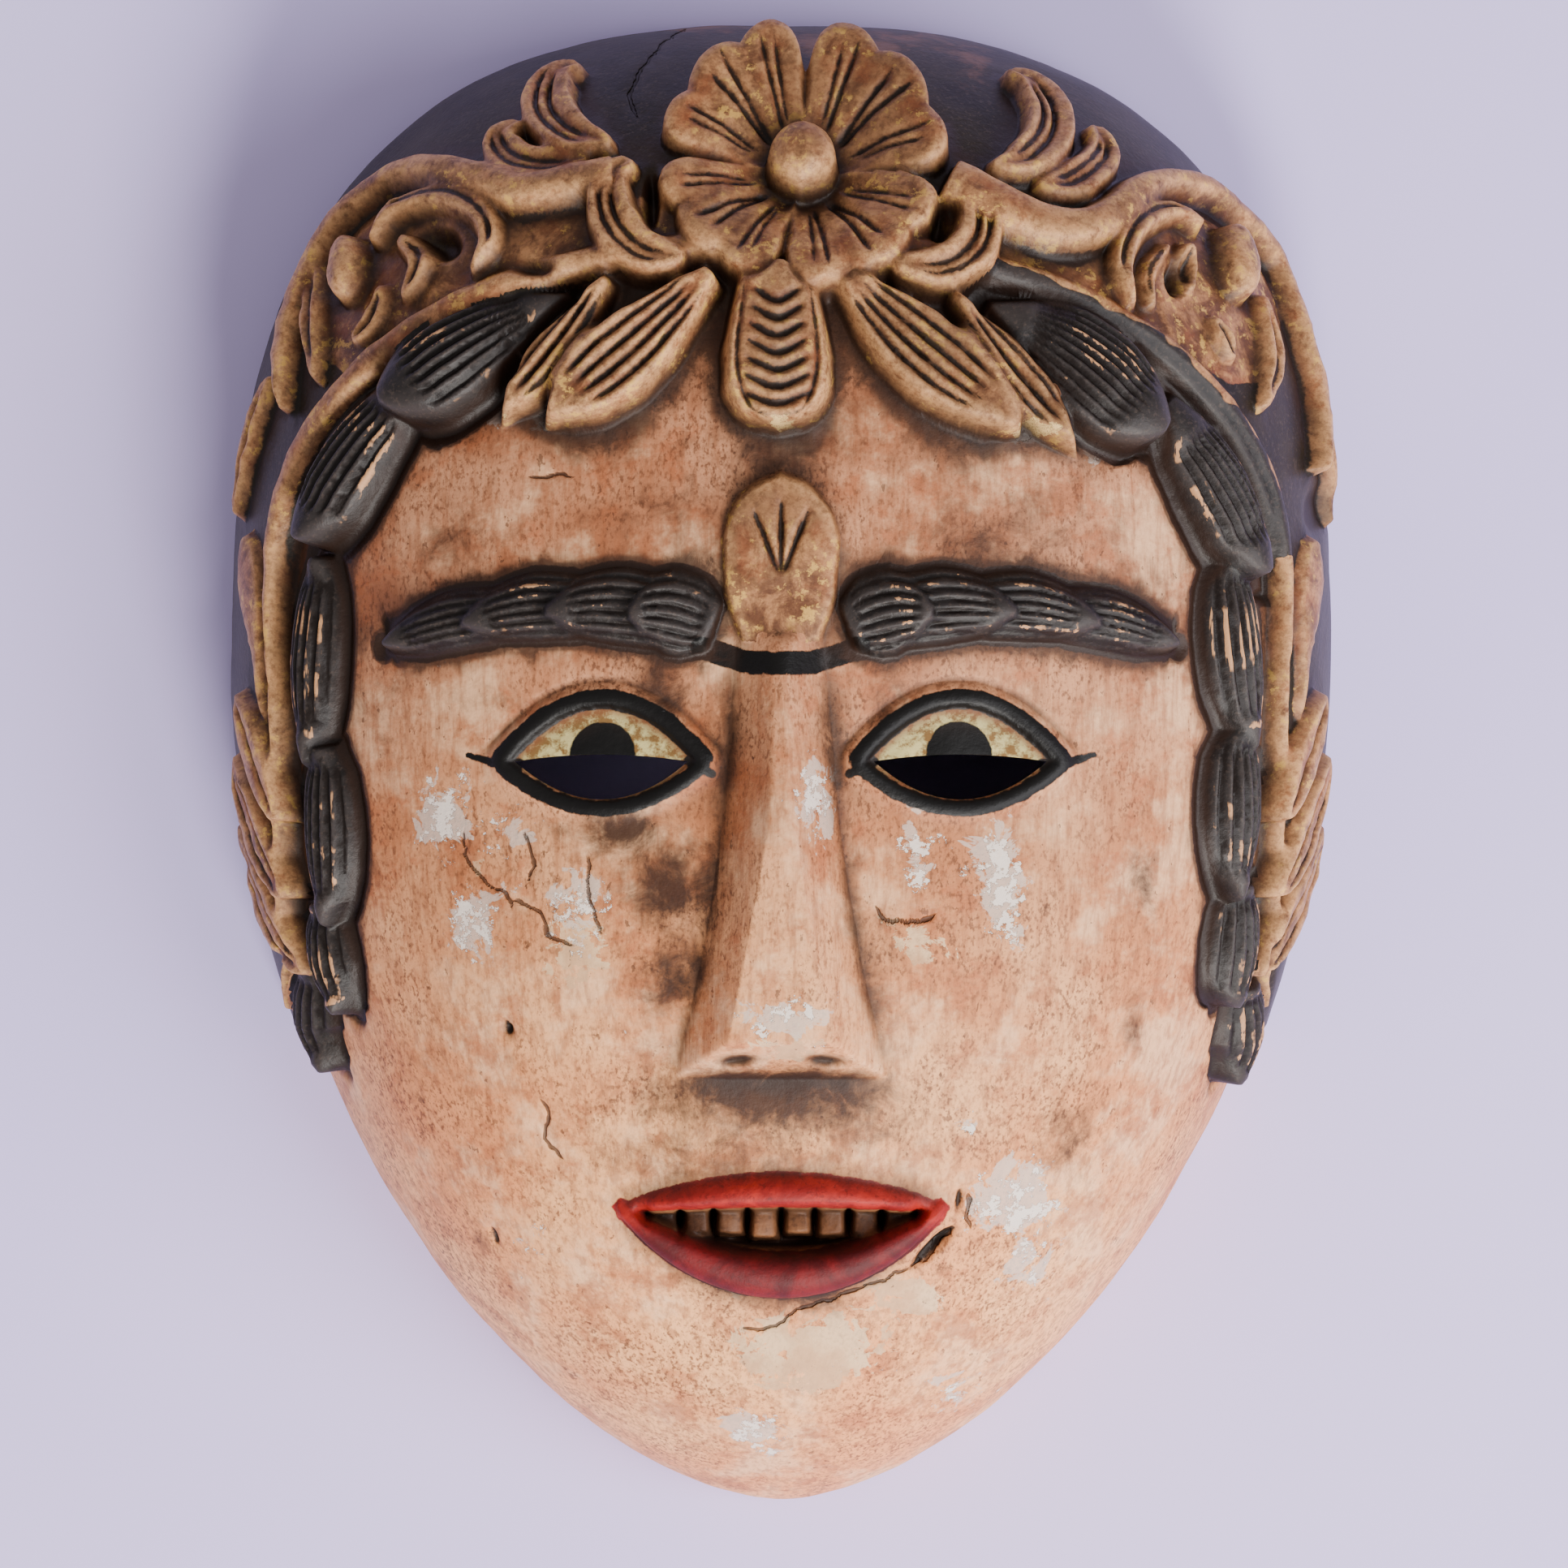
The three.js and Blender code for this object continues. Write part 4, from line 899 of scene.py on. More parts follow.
# Stains are partly painted shade: the dark under the nose, down the sides of the nose, over the forehead and
# on the right of the gilt
STAINS_AND_SHADE = [(-22, -9, 9, 4.5, 1.2), (-14, -16, 8, 7, 1.25), (-16, -29, 4, 7, 1.1), (20, 55, 13, 8, 0.6),
          (35, 48, 7, 10, 0.6), (-0.5, 56, 7, 11, 0.6), (13, 85, 14, 12, 0.55), (-7, 72, 9, 8, 0.4),
          (-12, 34, 22, 6, 0.6), (-44, 30, 12, 9, 0.6), (0, 41, 26, 4, 0.65), (-30, 8, 14, 3, 0.5),
          (34, 8, 14, 3, 0.5), (38, -50, 5, 8, 0.85), (-1, -45, 19, 5.5, 1.35), (-8, -50, 17, 6, 0.7),
          (4, -71, 6, 3, 1), (48, -16, 2, 9, 0.9), (47, -34, 2, 5, 0.9), (-36, -39, 1.5, 2, 1),
          (30, 30, 20, 9, 0.7), (9, -22, 7, 3, 0.5), (-40, 8, 10, 4, 0.4), (15, 5, 5, 9, 0.9),
          (-40, -65, 1, 2, 1.1), (-46, -38, 5, 9, 0.5), (-16, 10, 5, 7, 0.9), (50, 20, 5, 14, 0.5),
          (-54, 12, 5, 14, 0.5), (-16, -52, 14, 5, 0.7), (12, -50, 12, 4, 0.6), (-12, -26, 3, 10, 0.8),
          (14, -26, 2.5, 9, 0.7), (36, 38, 12, 10, 0.5), (24, 44, 12, 8, 0.45), (42, 72, 9, 5, 0.4)]
# The last place, on the base of the nose, is a painted highlight as well as pale bare ground
BARES = [(10, 94, 16, 2.5, 1), (25, 91, 4, 5, 0.9), (-9, 96, 10, 2, 0.9), (4, -78, 14, 6, 1.05),
         (17, -71, 9, 4, 0.95), (-27, -24, 7, 7, 0.95), (-40, -13, 3, 4, 0.8), (19, -23, 8, 4, 0.9),
         (-10, -48, 12, 3, 0.5), (-6, -70, 4, 4, 0.6), (0, -36.5, 9, 3.5, 0.9)]
CRACKS = [
    [(17.5, -68.5), (11, -71.5), (5, -73.2), (-1, -76.5), (-6, -77.5)],
    [(23.5, -63), (21.5, -65.5), (19, -68.5), (15, -70)],
    [(26, -58), (25.2, -61), (25.6, -64)],
    [(-43.5, -9), (-43, -13), (-40, -16.5), (-37, -18.5), (-36.4, -20.5)],
    [(-37, -18.5), (-33, -20.5), (-31, -23.5), (-27.5, -25)],
    [(-35.5, -9), (-34, -13), (-35, -17)],
    [(-26.5, -12), (-26, -18), (-24.5, -24)],
    [(-33.5, -45.5), (-31.8, -48), (-32.2, -51.5), (-29.5, -54.5)],
    [(12.5, -19), (15, -21.5), (19, -21.8), (21, -20)],
    [(-35, 38.8), (-31, 38.2), (-28, 38.4)],
    [(-20, 98), (-19, 92), (-19.5, 86)],
]
# Deep nicks: the line of each one, its depth and its width
GOUGES = [([(23.5, -63.5), (21.2, -65.5), (18.4, -68.3)], 1.6, 0.9),
          ([(-37.3, -35.4), (-37.0, -37.0)], 1.5, 0.7),
          ([(24.5, -58.2), (24.2, -61.0)], 0.8, 0.5),
          ([(-39.9, -63.6), (-39.2, -65.6)], 0.7, 0.5)]


# How a crack wanders off its line, how wide it is and how deep
CRACK_WANDER, CRACK_SHAKE, CRACK_WIDTH, CRACK_DEPTH, CRACK_TAPER = 0.6, 0.22, 0.1, 0.35, 1.5


def wear(block):
    """Where flakes, stains with painted shade among them, and bare ground gather on the face, and the lines
    of the cracks.
    """
    place = outlook(block)
    for name, spots in (("flake", FLAKES), ("stain_and_shade", STAINS_AND_SHADE), ("bare", BARES)):
        for x, y, wide, tall, strength in spots:
            away = ((place[:, 0] - x) / wide) ** 2 + ((place[:, 1] - y) / tall) ** 2
            block.mark(name, strength * np.exp(-away))
    for line in CRACKS:
        near, along, across, length = block.follow(laid(line), 2.5)
        spot = block.base[near]
        ends = np.clip(np.minimum(along, 1 - along) * length / CRACK_TAPER, 0, 1)
        away = across + CRACK_WANDER * noise(spot, 2.2, 21) + CRACK_SHAKE * noise(spot, 0.8, 22)
        width = CRACK_WIDTH + CRACK_WIDTH * ends * (1 + 0.8 * noise(spot, 2.6, 23))
        dark = ends * np.exp(-(away / width) ** 2)
        block.mark("crack", dark, near)
        block.lift[near] -= CRACK_DEPTH * dark
    for line, depth, width in GOUGES:
        block.cut(laid(line), depth, width)


def blurred(grid, cells):
    """Each place of the grid averaged with its neighbours as far as cells away."""
    width = 2 * cells + 1
    for axis in (0, 1):
        edges = [(cells + 1, cells) if axis == a else (0, 0) for a in (0, 1)]
        total = np.cumsum(np.pad(grid, edges, mode="edge"), axis=axis)
        count = total.shape[axis]
        high = np.take(total, np.arange(width, count), axis)
        grid = (high - np.take(total, np.arange(0, count - width), axis)) / width
    return grid


# Hollows and ridges: how far round a place is looked at, the depth that counts in full, and which way
RELIEF = (("crevice_shade_and_dirt", 0.9, 0.55, 1), ("ridge", 0.8, 0.4, -1), ("ground", 3.2, 2.2, 1))
SHEET_SPAN = 230.0


def read_relief(block, order, cells):
    """Find the hollows and ridges of the carving: for dirt and painted shade in the hollows and round the
    raised forms, and for wear and a painted sheen on the ridges.
    """
    grid = block.lift[order].reshape(cells + 1, cells + 1)
    pitch = SHEET_SPAN / cells
    for name, reach, full, sign in RELIEF:
        radius = max(1, round(reach / pitch))
        level = blurred(blurred(grid, radius), radius)
        share = np.clip(sign * (level - grid) / full, 0, 1)
        found = np.empty(len(order))
        found[order] = share.ravel()
        block.mark(name, found)


def span(grid):
    """How far apart the neighbours of each inner place are."""
    down = np.linalg.norm(grid[2:, 1:-1, :3] - grid[:-2, 1:-1, :3], axis=2)
    return down + np.linalg.norm(grid[1:-1, 2:, :3] - grid[1:-1, :-2, :3], axis=2)


# How much the walls of the carving stretch the sheet where softening starts and where it is full
STEEP_FROM, STEEP_FULL, HAIR_KEPT = 1.15, 1.9, 0.85


def soften(block, place, order, cells):
    """Take the saw edge off: each place moves toward the middle of its neighbours, most on steep walls."""
    names = [name for name, *_ in RELIEF]
    marks = [block.paint[name] for name in names]
    fields = np.column_stack([place, *marks])
    grid = fields[order].reshape(cells + 1, cells + 1, -1)
    plain = block.base[order].reshape(cells + 1, cells + 1, 3)
    steep = blurred(smooth(STEEP_FROM, STEEP_FULL, span(grid) / span(plain)), 1)
    hair = block.paint["hair"][order].reshape(cells + 1, cells + 1)[1:-1, 1:-1]
    steep = steep * (1 - HAIR_KEPT * smooth(2.2, 3.0, hair))
    share = (SOFTEN_PLAIN + (SOFTEN_STEEP - SOFTEN_PLAIN) * steep)[:, :, None]
    for turn in range(SOFTEN_TURNS):
        middle = (grid[:-2, 1:-1] + grid[2:, 1:-1] + grid[1:-1, :-2] + grid[1:-1, 2:]) / 4
        grid[1:-1, 1:-1] += share * (middle - grid[1:-1, 1:-1])
    softened = np.empty_like(fields)
    softened[order] = grid.reshape(len(order), -1)
    for name, values in zip(names, softened[:, 3:].T):
        block.paint[name] = values.copy()
    return softened[:, :3].copy()


# From the carving to a piece

def places_of(piece):
    """Where the corners of a piece are, one row for each."""
    flat = np.empty(len(piece.data.vertices) * 3, np.float32)
    piece.data.vertices.foreach_get("co", flat)
    return flat.reshape(-1, 3).astype(float)


def set_places(piece, places):
    """Move the corners of a piece to new places."""
    piece.data.vertices.foreach_set("co", places.astype(np.float32).ravel())
    piece.data.update()


def wrap(square, extra):
    """Places of a square grid, wrapped over the half egg with its edge on the rim."""
    u, v = square[:, 0], square[:, 1]
    wide = np.abs(u) > np.abs(v)
    r = np.where(wide, u, v)
    with np.errstate(divide="ignore", invalid="ignore"):
        turn = np.where(wide, math.pi / 4 * v / u, math.pi / 2 - math.pi / 4 * u / v)
    turn = np.where(r == 0, 0.0, turn)
    out = r * np.sqrt(2 - r * r)
    way = np.stack([out * np.cos(turn) * HALF_WIDTH, out * np.sin(turn) * 100, (1 - r * r) * DEPTH], 1)
    centre = np.array([0, 5.0, 0])
    low, high = np.full(len(u), 0.3), np.full(len(u), 1.7)
    for step in range(24):
        middle = (low + high) / 2
        place = centre + way * middle[:, None]
        past_ends = (place[:, 1] > CROWN_Y + extra) | (place[:, 1] < CHIN_Y - extra)
        outside = (fullness(place, extra) > 1) | past_ends
        low, high = np.where(outside, low, middle), np.where(outside, middle, high)
    return place


def add_sheet(name, cells, extra):
    """A fine grid wrapped over the shell, and the order that puts its corners in rows."""
    bpy.ops.object.select_all(action="DESELECT")
    bpy.ops.mesh.primitive_grid_add(x_subdivisions=cells, y_subdivisions=cells, size=2)
    sheet = bpy.context.object
    sheet.name = name
    square = places_of(sheet)
    set_places(sheet, wrap(square, extra))
    order = np.lexsort((np.round(square[:, 0], 5), np.round(square[:, 1], 5)))
    return sheet, order


def store(piece, paints):
    """Keep each paint with the corners of the piece, for the finishes to read."""
    for name, values in paints.items():
        layer = piece.data.attributes.new(name, "FLOAT", "POINT")
        layer.data.foreach_set("value", values.astype(np.float32))


def carve_front():
    """The carved and painted front of the mask."""
    sheet, order = add_sheet("mask", CELLS, 0.0)
    block = Block(places_of(sheet))
    for work in (lay_cap, model_face, carve_nose, gild_fields, carve_band, carve_flanks, carve_forehead,
                 carve_scrolls, carve_hair, carve_flower, carve_eyes, carve_brows, blacken_channels,
                 carve_brow_leaf, carve_lips, pierce, facet, wear):
        work(block)
    read_relief(block, order, CELLS)
    z = block.base[:, 2]
    block.lift -= RIM_DROP * (1 - np.clip(z / RIM_REACH, 0, 1)) ** 2
    place = block.base + block.normal * block.lift[:, None]
    carve_mouth(block, place)
    place = soften(block, place, order, CELLS)
    place[:, 2] = np.maximum(place[:, 2], 0)
    set_places(sheet, place)
    store(sheet, block.paint)
    thin_out(sheet, block)
    return sheet


# What keeps its faces: places this near an edge of paint or a cut, or this deep in a crack
EDGE_KEPT, CUT_KEPT, CRACK_KEPT, KEPT_WEIGHT, THIN_FACTOR = 0.35, 0.3, 0.03, 0.3, 0.6
KEPT_EDGES = ("line", "eye", "pupil", "teeth", "lips", "gilt", "hair")


def thin_out(sheet, block):
    """Fewer faces where the wood is even, but not along the edges of the paint."""
    edges = np.min([np.abs(block.paint[name]) for name in KEPT_EDGES], axis=0)
    cuts = (np.abs(block.paint["cut"]) < CUT_KEPT) & (block.paint["hair"] < 0)
    kept = np.flatnonzero((edges < EDGE_KEPT) | (block.paint["crack"] > CRACK_KEPT) | cuts)
    group = sheet.vertex_groups.new(name="thin")
    group.add(range(len(block.base)), 1.0, "REPLACE")
    group.add(kept.tolist(), KEPT_WEIGHT, "REPLACE")
    before = 2 * CELLS * CELLS
    modifier = sheet.modifiers.new("thin", "DECIMATE")
    modifier.ratio = min(1.0, FACES_KEPT / before)
    modifier.vertex_group = "thin"
    modifier.vertex_group_factor = THIN_FACTOR
    bpy.context.view_layer.objects.active = sheet
    bpy.ops.object.modifier_apply(modifier="thin")
    sheet.vertex_groups.clear()


# The marks of the gouge on the back: how deep and how broad, and the slow waves under them
GOUGE_DEPTH, GOUGE_SIZE, WAVE_DEPTH, WAVE_SIZE = 0.7, 7.0, 0.35, 16.0


def carve_back():
    """The hollow back, cut with a round gouge."""
    sheet, order = add_sheet("back", INNER_CELLS, -WALL)
    base = places_of(sheet)
    normal = unit(slope(base, -WALL))
    marks = np.abs(noise(base, GOUGE_SIZE, 11)) * GOUGE_DEPTH + WAVE_DEPTH * noise(base, WAVE_SIZE, 12)
    fade = np.clip(base[:, 2] / 3, 0, 1)
    set_places(sheet, base + normal * (marks * fade)[:, None])
    bpy.ops.object.mode_set(mode="EDIT")
    bpy.ops.mesh.select_all(action="SELECT")
    bpy.ops.mesh.flip_normals()
    bpy.ops.object.mode_set(mode="OBJECT")
    return sheet


SLIT_CORNERS, SLIT_FLOOR, SLIT_TALL = 48, 20, 60


def add_slit(side):
    """A wedge of wood the shape of the opening under one eye, to be taken out."""
    bpy.ops.object.select_all(action="DESELECT")
    bpy.ops.mesh.primitive_circle_add(vertices=SLIT_CORNERS, radius=1, fill_type="NGON")
    wedge = bpy.context.object
    bpy.ops.object.mode_set(mode="EDIT")
    bpy.ops.mesh.select_all(action="SELECT")
    bpy.ops.mesh.extrude_region_move(TRANSFORM_OT_translate={"value": (0, 0, SLIT_TALL)})
    bpy.ops.mesh.select_all(action="SELECT")
    bpy.ops.mesh.normals_make_consistent(inside=False)
    bpy.ops.object.mode_set(mode="OBJECT")
    places = places_of(wedge)
    angle = np.arctan2(places[:, 1], places[:, 0])
    t = np.cos(angle)
    flare = np.where(places[:, 2] < 1, SLIT_FLARE, 1.0)
    x = side * EYE_X + SLIT_HALF * t * flare
    bow = np.where(np.sin(angle) > 0, SLIT_TOP, SLIT_BOTTOM) * (1 - t * t)
    set_places(wedge, np.stack([x, EYE_Y + bow * flare, places[:, 2] + SLIT_FLOOR], 1))
    return wedge


def cut_slits(mask):
    """The two openings to see through, with bare wood inside them."""
    for side in (LEFT, RIGHT):
        wedge = add_slit(side)
        wedge.data.materials.append(mask.data.materials[1])
        modifier = mask.modifiers.new("slit", "BOOLEAN")
        modifier.operation, modifier.solver, modifier.object = "DIFFERENCE", "EXACT", wedge
        modifier.material_mode = "TRANSFER"
        bpy.context.view_layer.objects.active = mask
        bpy.ops.object.modifier_apply(modifier="slit")
        bpy.data.objects.remove(wedge)


def close_rim(front_sheet, back_sheet):
    """Join the carved front and the hollow back along the flat rim."""
    bpy.ops.object.select_all(action="DESELECT")
    back_sheet.select_set(True)
    front_sheet.select_set(True)
    bpy.context.view_layer.objects.active = front_sheet
    bpy.ops.object.join()
    mask = bpy.context.object
    before = len(mask.data.polygons)
    bpy.ops.object.mode_set(mode="EDIT")
    bpy.ops.mesh.select_mode(type="EDGE")
    bpy.ops.mesh.select_all(action="DESELECT")
    bpy.ops.mesh.select_non_manifold()
    bpy.ops.mesh.bridge_edge_loops()
    bpy.ops.object.mode_set(mode="OBJECT")
    for face in mask.data.polygons[before:]:
        face.material_index = 1
    return mask


def refill(mask, places, paints):
    """Give the corners that a cut has made the paint of the nearest place."""
    tree = kdtree.KDTree(len(places))
    for i, place in enumerate(places):
        tree.insert(place, i)
    tree.balance()
    source = np.array([tree.find(v.co)[1] for v in mask.data.vertices])
    for name, values in paints.items():
        mask.data.attributes[name].data.foreach_set("value", values[source])


def paints_of(piece):
    """The paints that are kept with the corners of a piece."""
    found = {}
    for name in PAINTS:
        values = np.empty(len(piece.data.vertices), np.float32)
        piece.data.attributes[name].data.foreach_get("value", values)
        found[name] = values
    return found


def build_mask():
    """Front and back joined, pierced, brought to metres and smoothed."""
    painted, bare = painted_wood(), bare_wood()
    front_sheet = carve_front()
    back_sheet = carve_back()
    front_sheet.data.materials.append(painted)
    front_sheet.data.materials.append(bare)
    back_sheet.data.materials.append(bare)
    mask = close_rim(front_sheet, back_sheet)
    places, paints = places_of(mask), paints_of(mask)
    cut_slits(mask)
    refill(mask, places, paints)
    set_places(mask, places_of(mask) * MM)
    bpy.ops.object.select_all(action="DESELECT")
    mask.select_set(True)
    bpy.context.view_layer.objects.active = mask
    bpy.ops.object.shade_smooth_by_angle(angle=math.radians(SMOOTH_BELOW))
    return mask


# Finishes

def colour(red, green, blue):
    """A paint as the eye reads it, 0 to 255, as light."""
    light = [((c / 255 + 0.055) / 1.055) ** 2.4 if c > 10 else c / 255 / 12.92 for c in (red, green, blue)]
    return (*light, 1.0)


class Finish:
    """A material, put together from plain steps."""

    def __init__(self, name):
        self.material = bpy.data.materials.new(name)
        self.material.use_nodes = True
        self.tree = self.material.node_tree
        self.shader = self.tree.nodes["Principled BSDF"]
        self.place = self.add("ShaderNodeTexCoord", {}).outputs["Object"]
        self.made = {}

    def add(self, kind, inputs, **settings):
        node = self.tree.nodes.new(kind)
        for key, value in settings.items():
            setattr(node, key, value)
        for key, value in inputs.items():
            if isinstance(value, bpy.types.NodeSocket):
                self.tree.links.new(value, node.inputs[key])
            else:
                node.inputs[key].default_value = value
        return node

    def attribute(self, name):
        return self.add("ShaderNodeAttribute", {}, attribute_name=name).outputs["Fac"]

    def along_y(self):
        return self.add("ShaderNodeSeparateXYZ", {"Vector": self.place}).outputs["Y"]

    def math(self, operation, a, b=0.0):
        return self.add("ShaderNodeMath", {0: a, 1: b}, operation=operation).outputs[0]

    def times(self, a, b):
        return self.math("MULTIPLY", a, b)

    def ease(self, value, low, high):
        node = self.add("ShaderNodeMapRange", {"Value": value, "From Min": low, "From Max": high},
                        interpolation_type="SMOOTHSTEP", clamp=True)
        return node.outputs["Result"]

    def stretch(self, scale):
        return self.add("ShaderNodeMapping", {"Vector": self.place, "Scale": scale}).outputs["Vector"]

    def grain(self, size, detail=4.0, roughness=0.55, along=None, warp=0.0):
        """Soft noise with bumps of the given size in millimetres. The same noise is made once and shared."""
        key = (size, detail, roughness, along, warp)
        if key not in self.made:
            place = self.stretch((1.0, along, 1.0)) if along else self.place
            inputs = {"Vector": place, "Scale": 1000 / size, "Detail": detail, "Roughness": roughness,
                      "Distortion": warp}
            self.made[key] = self.add("ShaderNodeTexNoise", inputs).outputs["Fac"]
        return self.made[key]

    # Noises that several paints share, from broad to fine

    def cloud(self):
        return self.grain(14, 5, 0.68)

    def blotch(self):
        return self.grain(5, 5, 0.7, warp=0.5)

    def crumb(self):
        return self.grain(1.8, 4, 0.7)

    def dust(self):
        return self.grain(0.6, 2, 0.6)

    def blend(self, share, below, above, mode="MIX"):
        node = self.add("ShaderNodeMix", {0: share, 6: below, 7: above}, data_type="RGBA", blend_type=mode)
        return node.outputs[2]

    def coat(self, shade, share, strength, tone):
        """A thin coat of one more tone, as strong as given where the share is full."""
        return self.blend(self.times(share, strength), shade, tone)

    def rate(self, share, below, above):
        return self.add("ShaderNodeMix", {0: share, 2: below, 3: above}).outputs[0]

    def finish(self, shade, rough, bump=None, depth=0.0):
        self.tree.links.new(shade, self.shader.inputs["Base Color"])
        if isinstance(rough, bpy.types.NodeSocket):
            self.tree.links.new(rough, self.shader.inputs["Roughness"])
        else:
            self.shader.inputs["Roughness"].default_value = rough
        if bump:
            node = self.add("ShaderNodeBump", {"Height": bump, "Distance": depth * MM, "Strength": 1.0})
            self.tree.links.new(node.outputs["Normal"], self.shader.inputs["Normal"])
        return self.material


def patch(wood, mark, grain, low, high):
    """A ragged patch round each place that carries the mark."""
    return wood.ease(wood.math("ADD", wood.attribute(mark), grain), low, high)


def skin_colour(wood):
    """Peach paint, browned by age and dust, with stains, cracks, lost flakes and bare ground; painted shade
    darkens it towards the forehead and under and beside the nose, and a painted highlight lightens the base
    of the nose.
    """
    broad = wood.ease(wood.grain(26, 3, 0.6), 0.38, 0.62)
    # Painted shade: the paint darkens towards the top of the face, light on the chin and dark on the forehead
    up = wood.ease(wood.along_y(), -0.08, 0.03)
    light = wood.blend(broad, colour(252, 182, 122), colour(236, 154, 96))
    dark = wood.blend(broad, colour(198, 138, 100), colour(160, 98, 64))
    shade = wood.blend(up, light, dark)
    pale = wood.ease(wood.cloud(), 0.5, 0.66)
    shade = wood.coat(shade, pale, 0.6, colour(246, 198, 152))
    rust = wood.ease(wood.grain(8, 5, 0.7), 0.5, 0.64)
    shade = wood.coat(shade, rust, 0.55, colour(166, 88, 48))
    brushed = wood.ease(wood.grain(1.1, 3, 0.65, 0.14), 0.42, 0.68)
    shade = wood.coat(shade, brushed, 0.5, colour(144, 82, 48))
    # Pale bare ground, and a painted highlight on the base of the nose
    bare = patch(wood, "bare", wood.times(wood.blotch(), 2.0), 1.64, 1.7)
    cream = wood.blend(wood.ease(wood.grain(7), 0.4, 0.6), colour(226, 190, 146), colour(204, 160, 118))
    shade = wood.coat(shade, bare, 0.85, cream)
    dust = wood.ease(wood.grain(0.5, 2, 0.6, 0.6), 0.46, 0.68)
    veil = wood.ease(wood.cloud(), 0.6, 0.38)
    dusty = wood.times(dust, wood.math("SUBTRACT", 1.0, wood.times(bare, 0.7)))
    dusty = wood.times(dusty, wood.math("ADD", 0.2, veil))
    shade = wood.coat(shade, dusty, 0.65, colour(94, 54, 33))
    specks = wood.ease(wood.grain(1.5, 3, 0.7, 0.6), 0.655, 0.69)
    shade = wood.coat(shade, specks, 0.6, colour(62, 38, 26))
    # Stains, partly painted shade under and beside the nose and on the forehead
    stain_and_shade = patch(wood, "stain_and_shade", wood.times(wood.blotch(), 1.8), 1.1, 2.1)
    shade = wood.coat(shade, stain_and_shade, 0.96, colour(52, 29, 18))
    flake = patch(wood, "flake", wood.times(wood.grain(3.0, 5, 0.76), 3.0), 2.34, 2.42)
    scuff = patch(wood, "flake", wood.times(wood.blotch(), 2.4), 1.86, 1.96)
    shade = wood.coat(shade, scuff, 0.7, colour(206, 186, 170))
    shade = wood.coat(shade, flake, 0.85, colour(236, 222, 208))
    crack = wood.ease(wood.attribute("crack"), 0.2, 0.6)
    shade = wood.coat(shade, crack, 0.75, colour(56, 34, 24))
    return shade, crack, flake


def gilt_colour(wood):
    """Thin gold over wood, rubbed through to tan on the ridges; the brown in its hollows is painted shade and
    dirt laid over it later.
    """
    tone = wood.ease(wood.blotch(), 0.4, 0.6)
    shade = wood.blend(tone, colour(100, 62, 40), colour(176, 122, 80))
    rust = wood.ease(wood.grain(8, 5, 0.7), 0.5, 0.62)
    shade = wood.coat(shade, rust, 0.5, colour(146, 78, 44))
    worn = wood.times(wood.attribute("ridge"), wood.ease(wood.crumb(), 0.26, 0.56))
    shade = wood.coat(shade, worn, 0.7, colour(224, 170, 116))
    brushed = wood.ease(wood.grain(1.0, 3, 0.65), 0.42, 0.68)
    shade = wood.coat(shade, brushed, 0.35, colour(86, 52, 34))
    dust = wood.ease(wood.dust(), 0.5, 0.66)
    shade = wood.coat(shade, dust, 0.25, colour(64, 40, 28))
    glint = wood.ease(wood.crumb(), 0.53, 0.62)
    place = wood.ease(wood.grain(7), 0.47, 0.56)
    gold = wood.times(wood.times(glint, place), 0.75)
    shade = wood.blend(gold, shade, colour(220, 172, 88))
    # Stains on the gilt, partly painted shade toward the right
    soot_and_shade = patch(wood, "stain_and_shade", wood.times(wood.blotch(), 1.2), 0.7, 1.5)
    shade = wood.coat(shade, soot_and_shade, 0.7, colour(56, 34, 23))
    chips = patch(wood, "flake", wood.times(wood.grain(3.0, 5, 0.76), 2.4), 1.9, 2.0)
    return wood.coat(shade, chips, 0.8, colour(228, 192, 128))


def black_colour(wood):
    """Black paint with a painted grey sheen on its ridges and painted shade in its grooves, worn to tan wood
    in short streaks on the highest ridges.
    """
    tone = wood.ease(wood.blotch(), 0.3, 0.7)
    shade = wood.blend(tone, colour(19, 17, 17), colour(37, 33, 32))
    # Painted sheen: the ridges are greyer
    shade = wood.coat(shade, wood.attribute("ridge"), 0.5, colour(74, 65, 62))
    dust = wood.ease(wood.dust(), 0.52, 0.68)
    shade = wood.coat(shade, dust, 0.35, colour(84, 70, 62))
    # Painted shade: the grooves of the hair go near black
    shade = wood.blend(wood.attribute("crevice_shade_and_dirt"), shade, colour(8, 6, 6))
    streaks = wood.times(wood.grain(1.1, 3, 0.65, 0.14), 1.6)
    worn = patch(wood, "ridge", streaks, 1.52, 1.62)
    place = wood.ease(wood.grain(7), 0.53, 0.58)
    beside_cut = wood.ease(wood.attribute("cut"), -1.0, -0.6)
    worn = wood.times(wood.times(worn, place), beside_cut)
    return wood.blend(worn, shade, colour(186, 138, 98))


def lip_colour(wood):
    """Red paint, with painted shade that makes the lower lip darker and duller."""
    mouth = MOUTH_Y * MM
    # Painted shade: the lower lip, which faces away from the lamp, is darker
    low = wood.ease(wood.along_y(), mouth + 0.001, mouth - 0.003)
    tone = wood.ease(wood.blotch(), 0.35, 0.65)
    upper = wood.blend(tone, colour(168, 36, 28), colour(128, 24, 22))
    lower = wood.blend(tone, colour(112, 20, 22), colour(76, 14, 17))
    shade = wood.blend(low, upper, lower)
    specks = wood.ease(wood.dust(), 0.56, 0.68)
    return wood.coat(shade, specks, 0.4, colour(66, 20, 18))


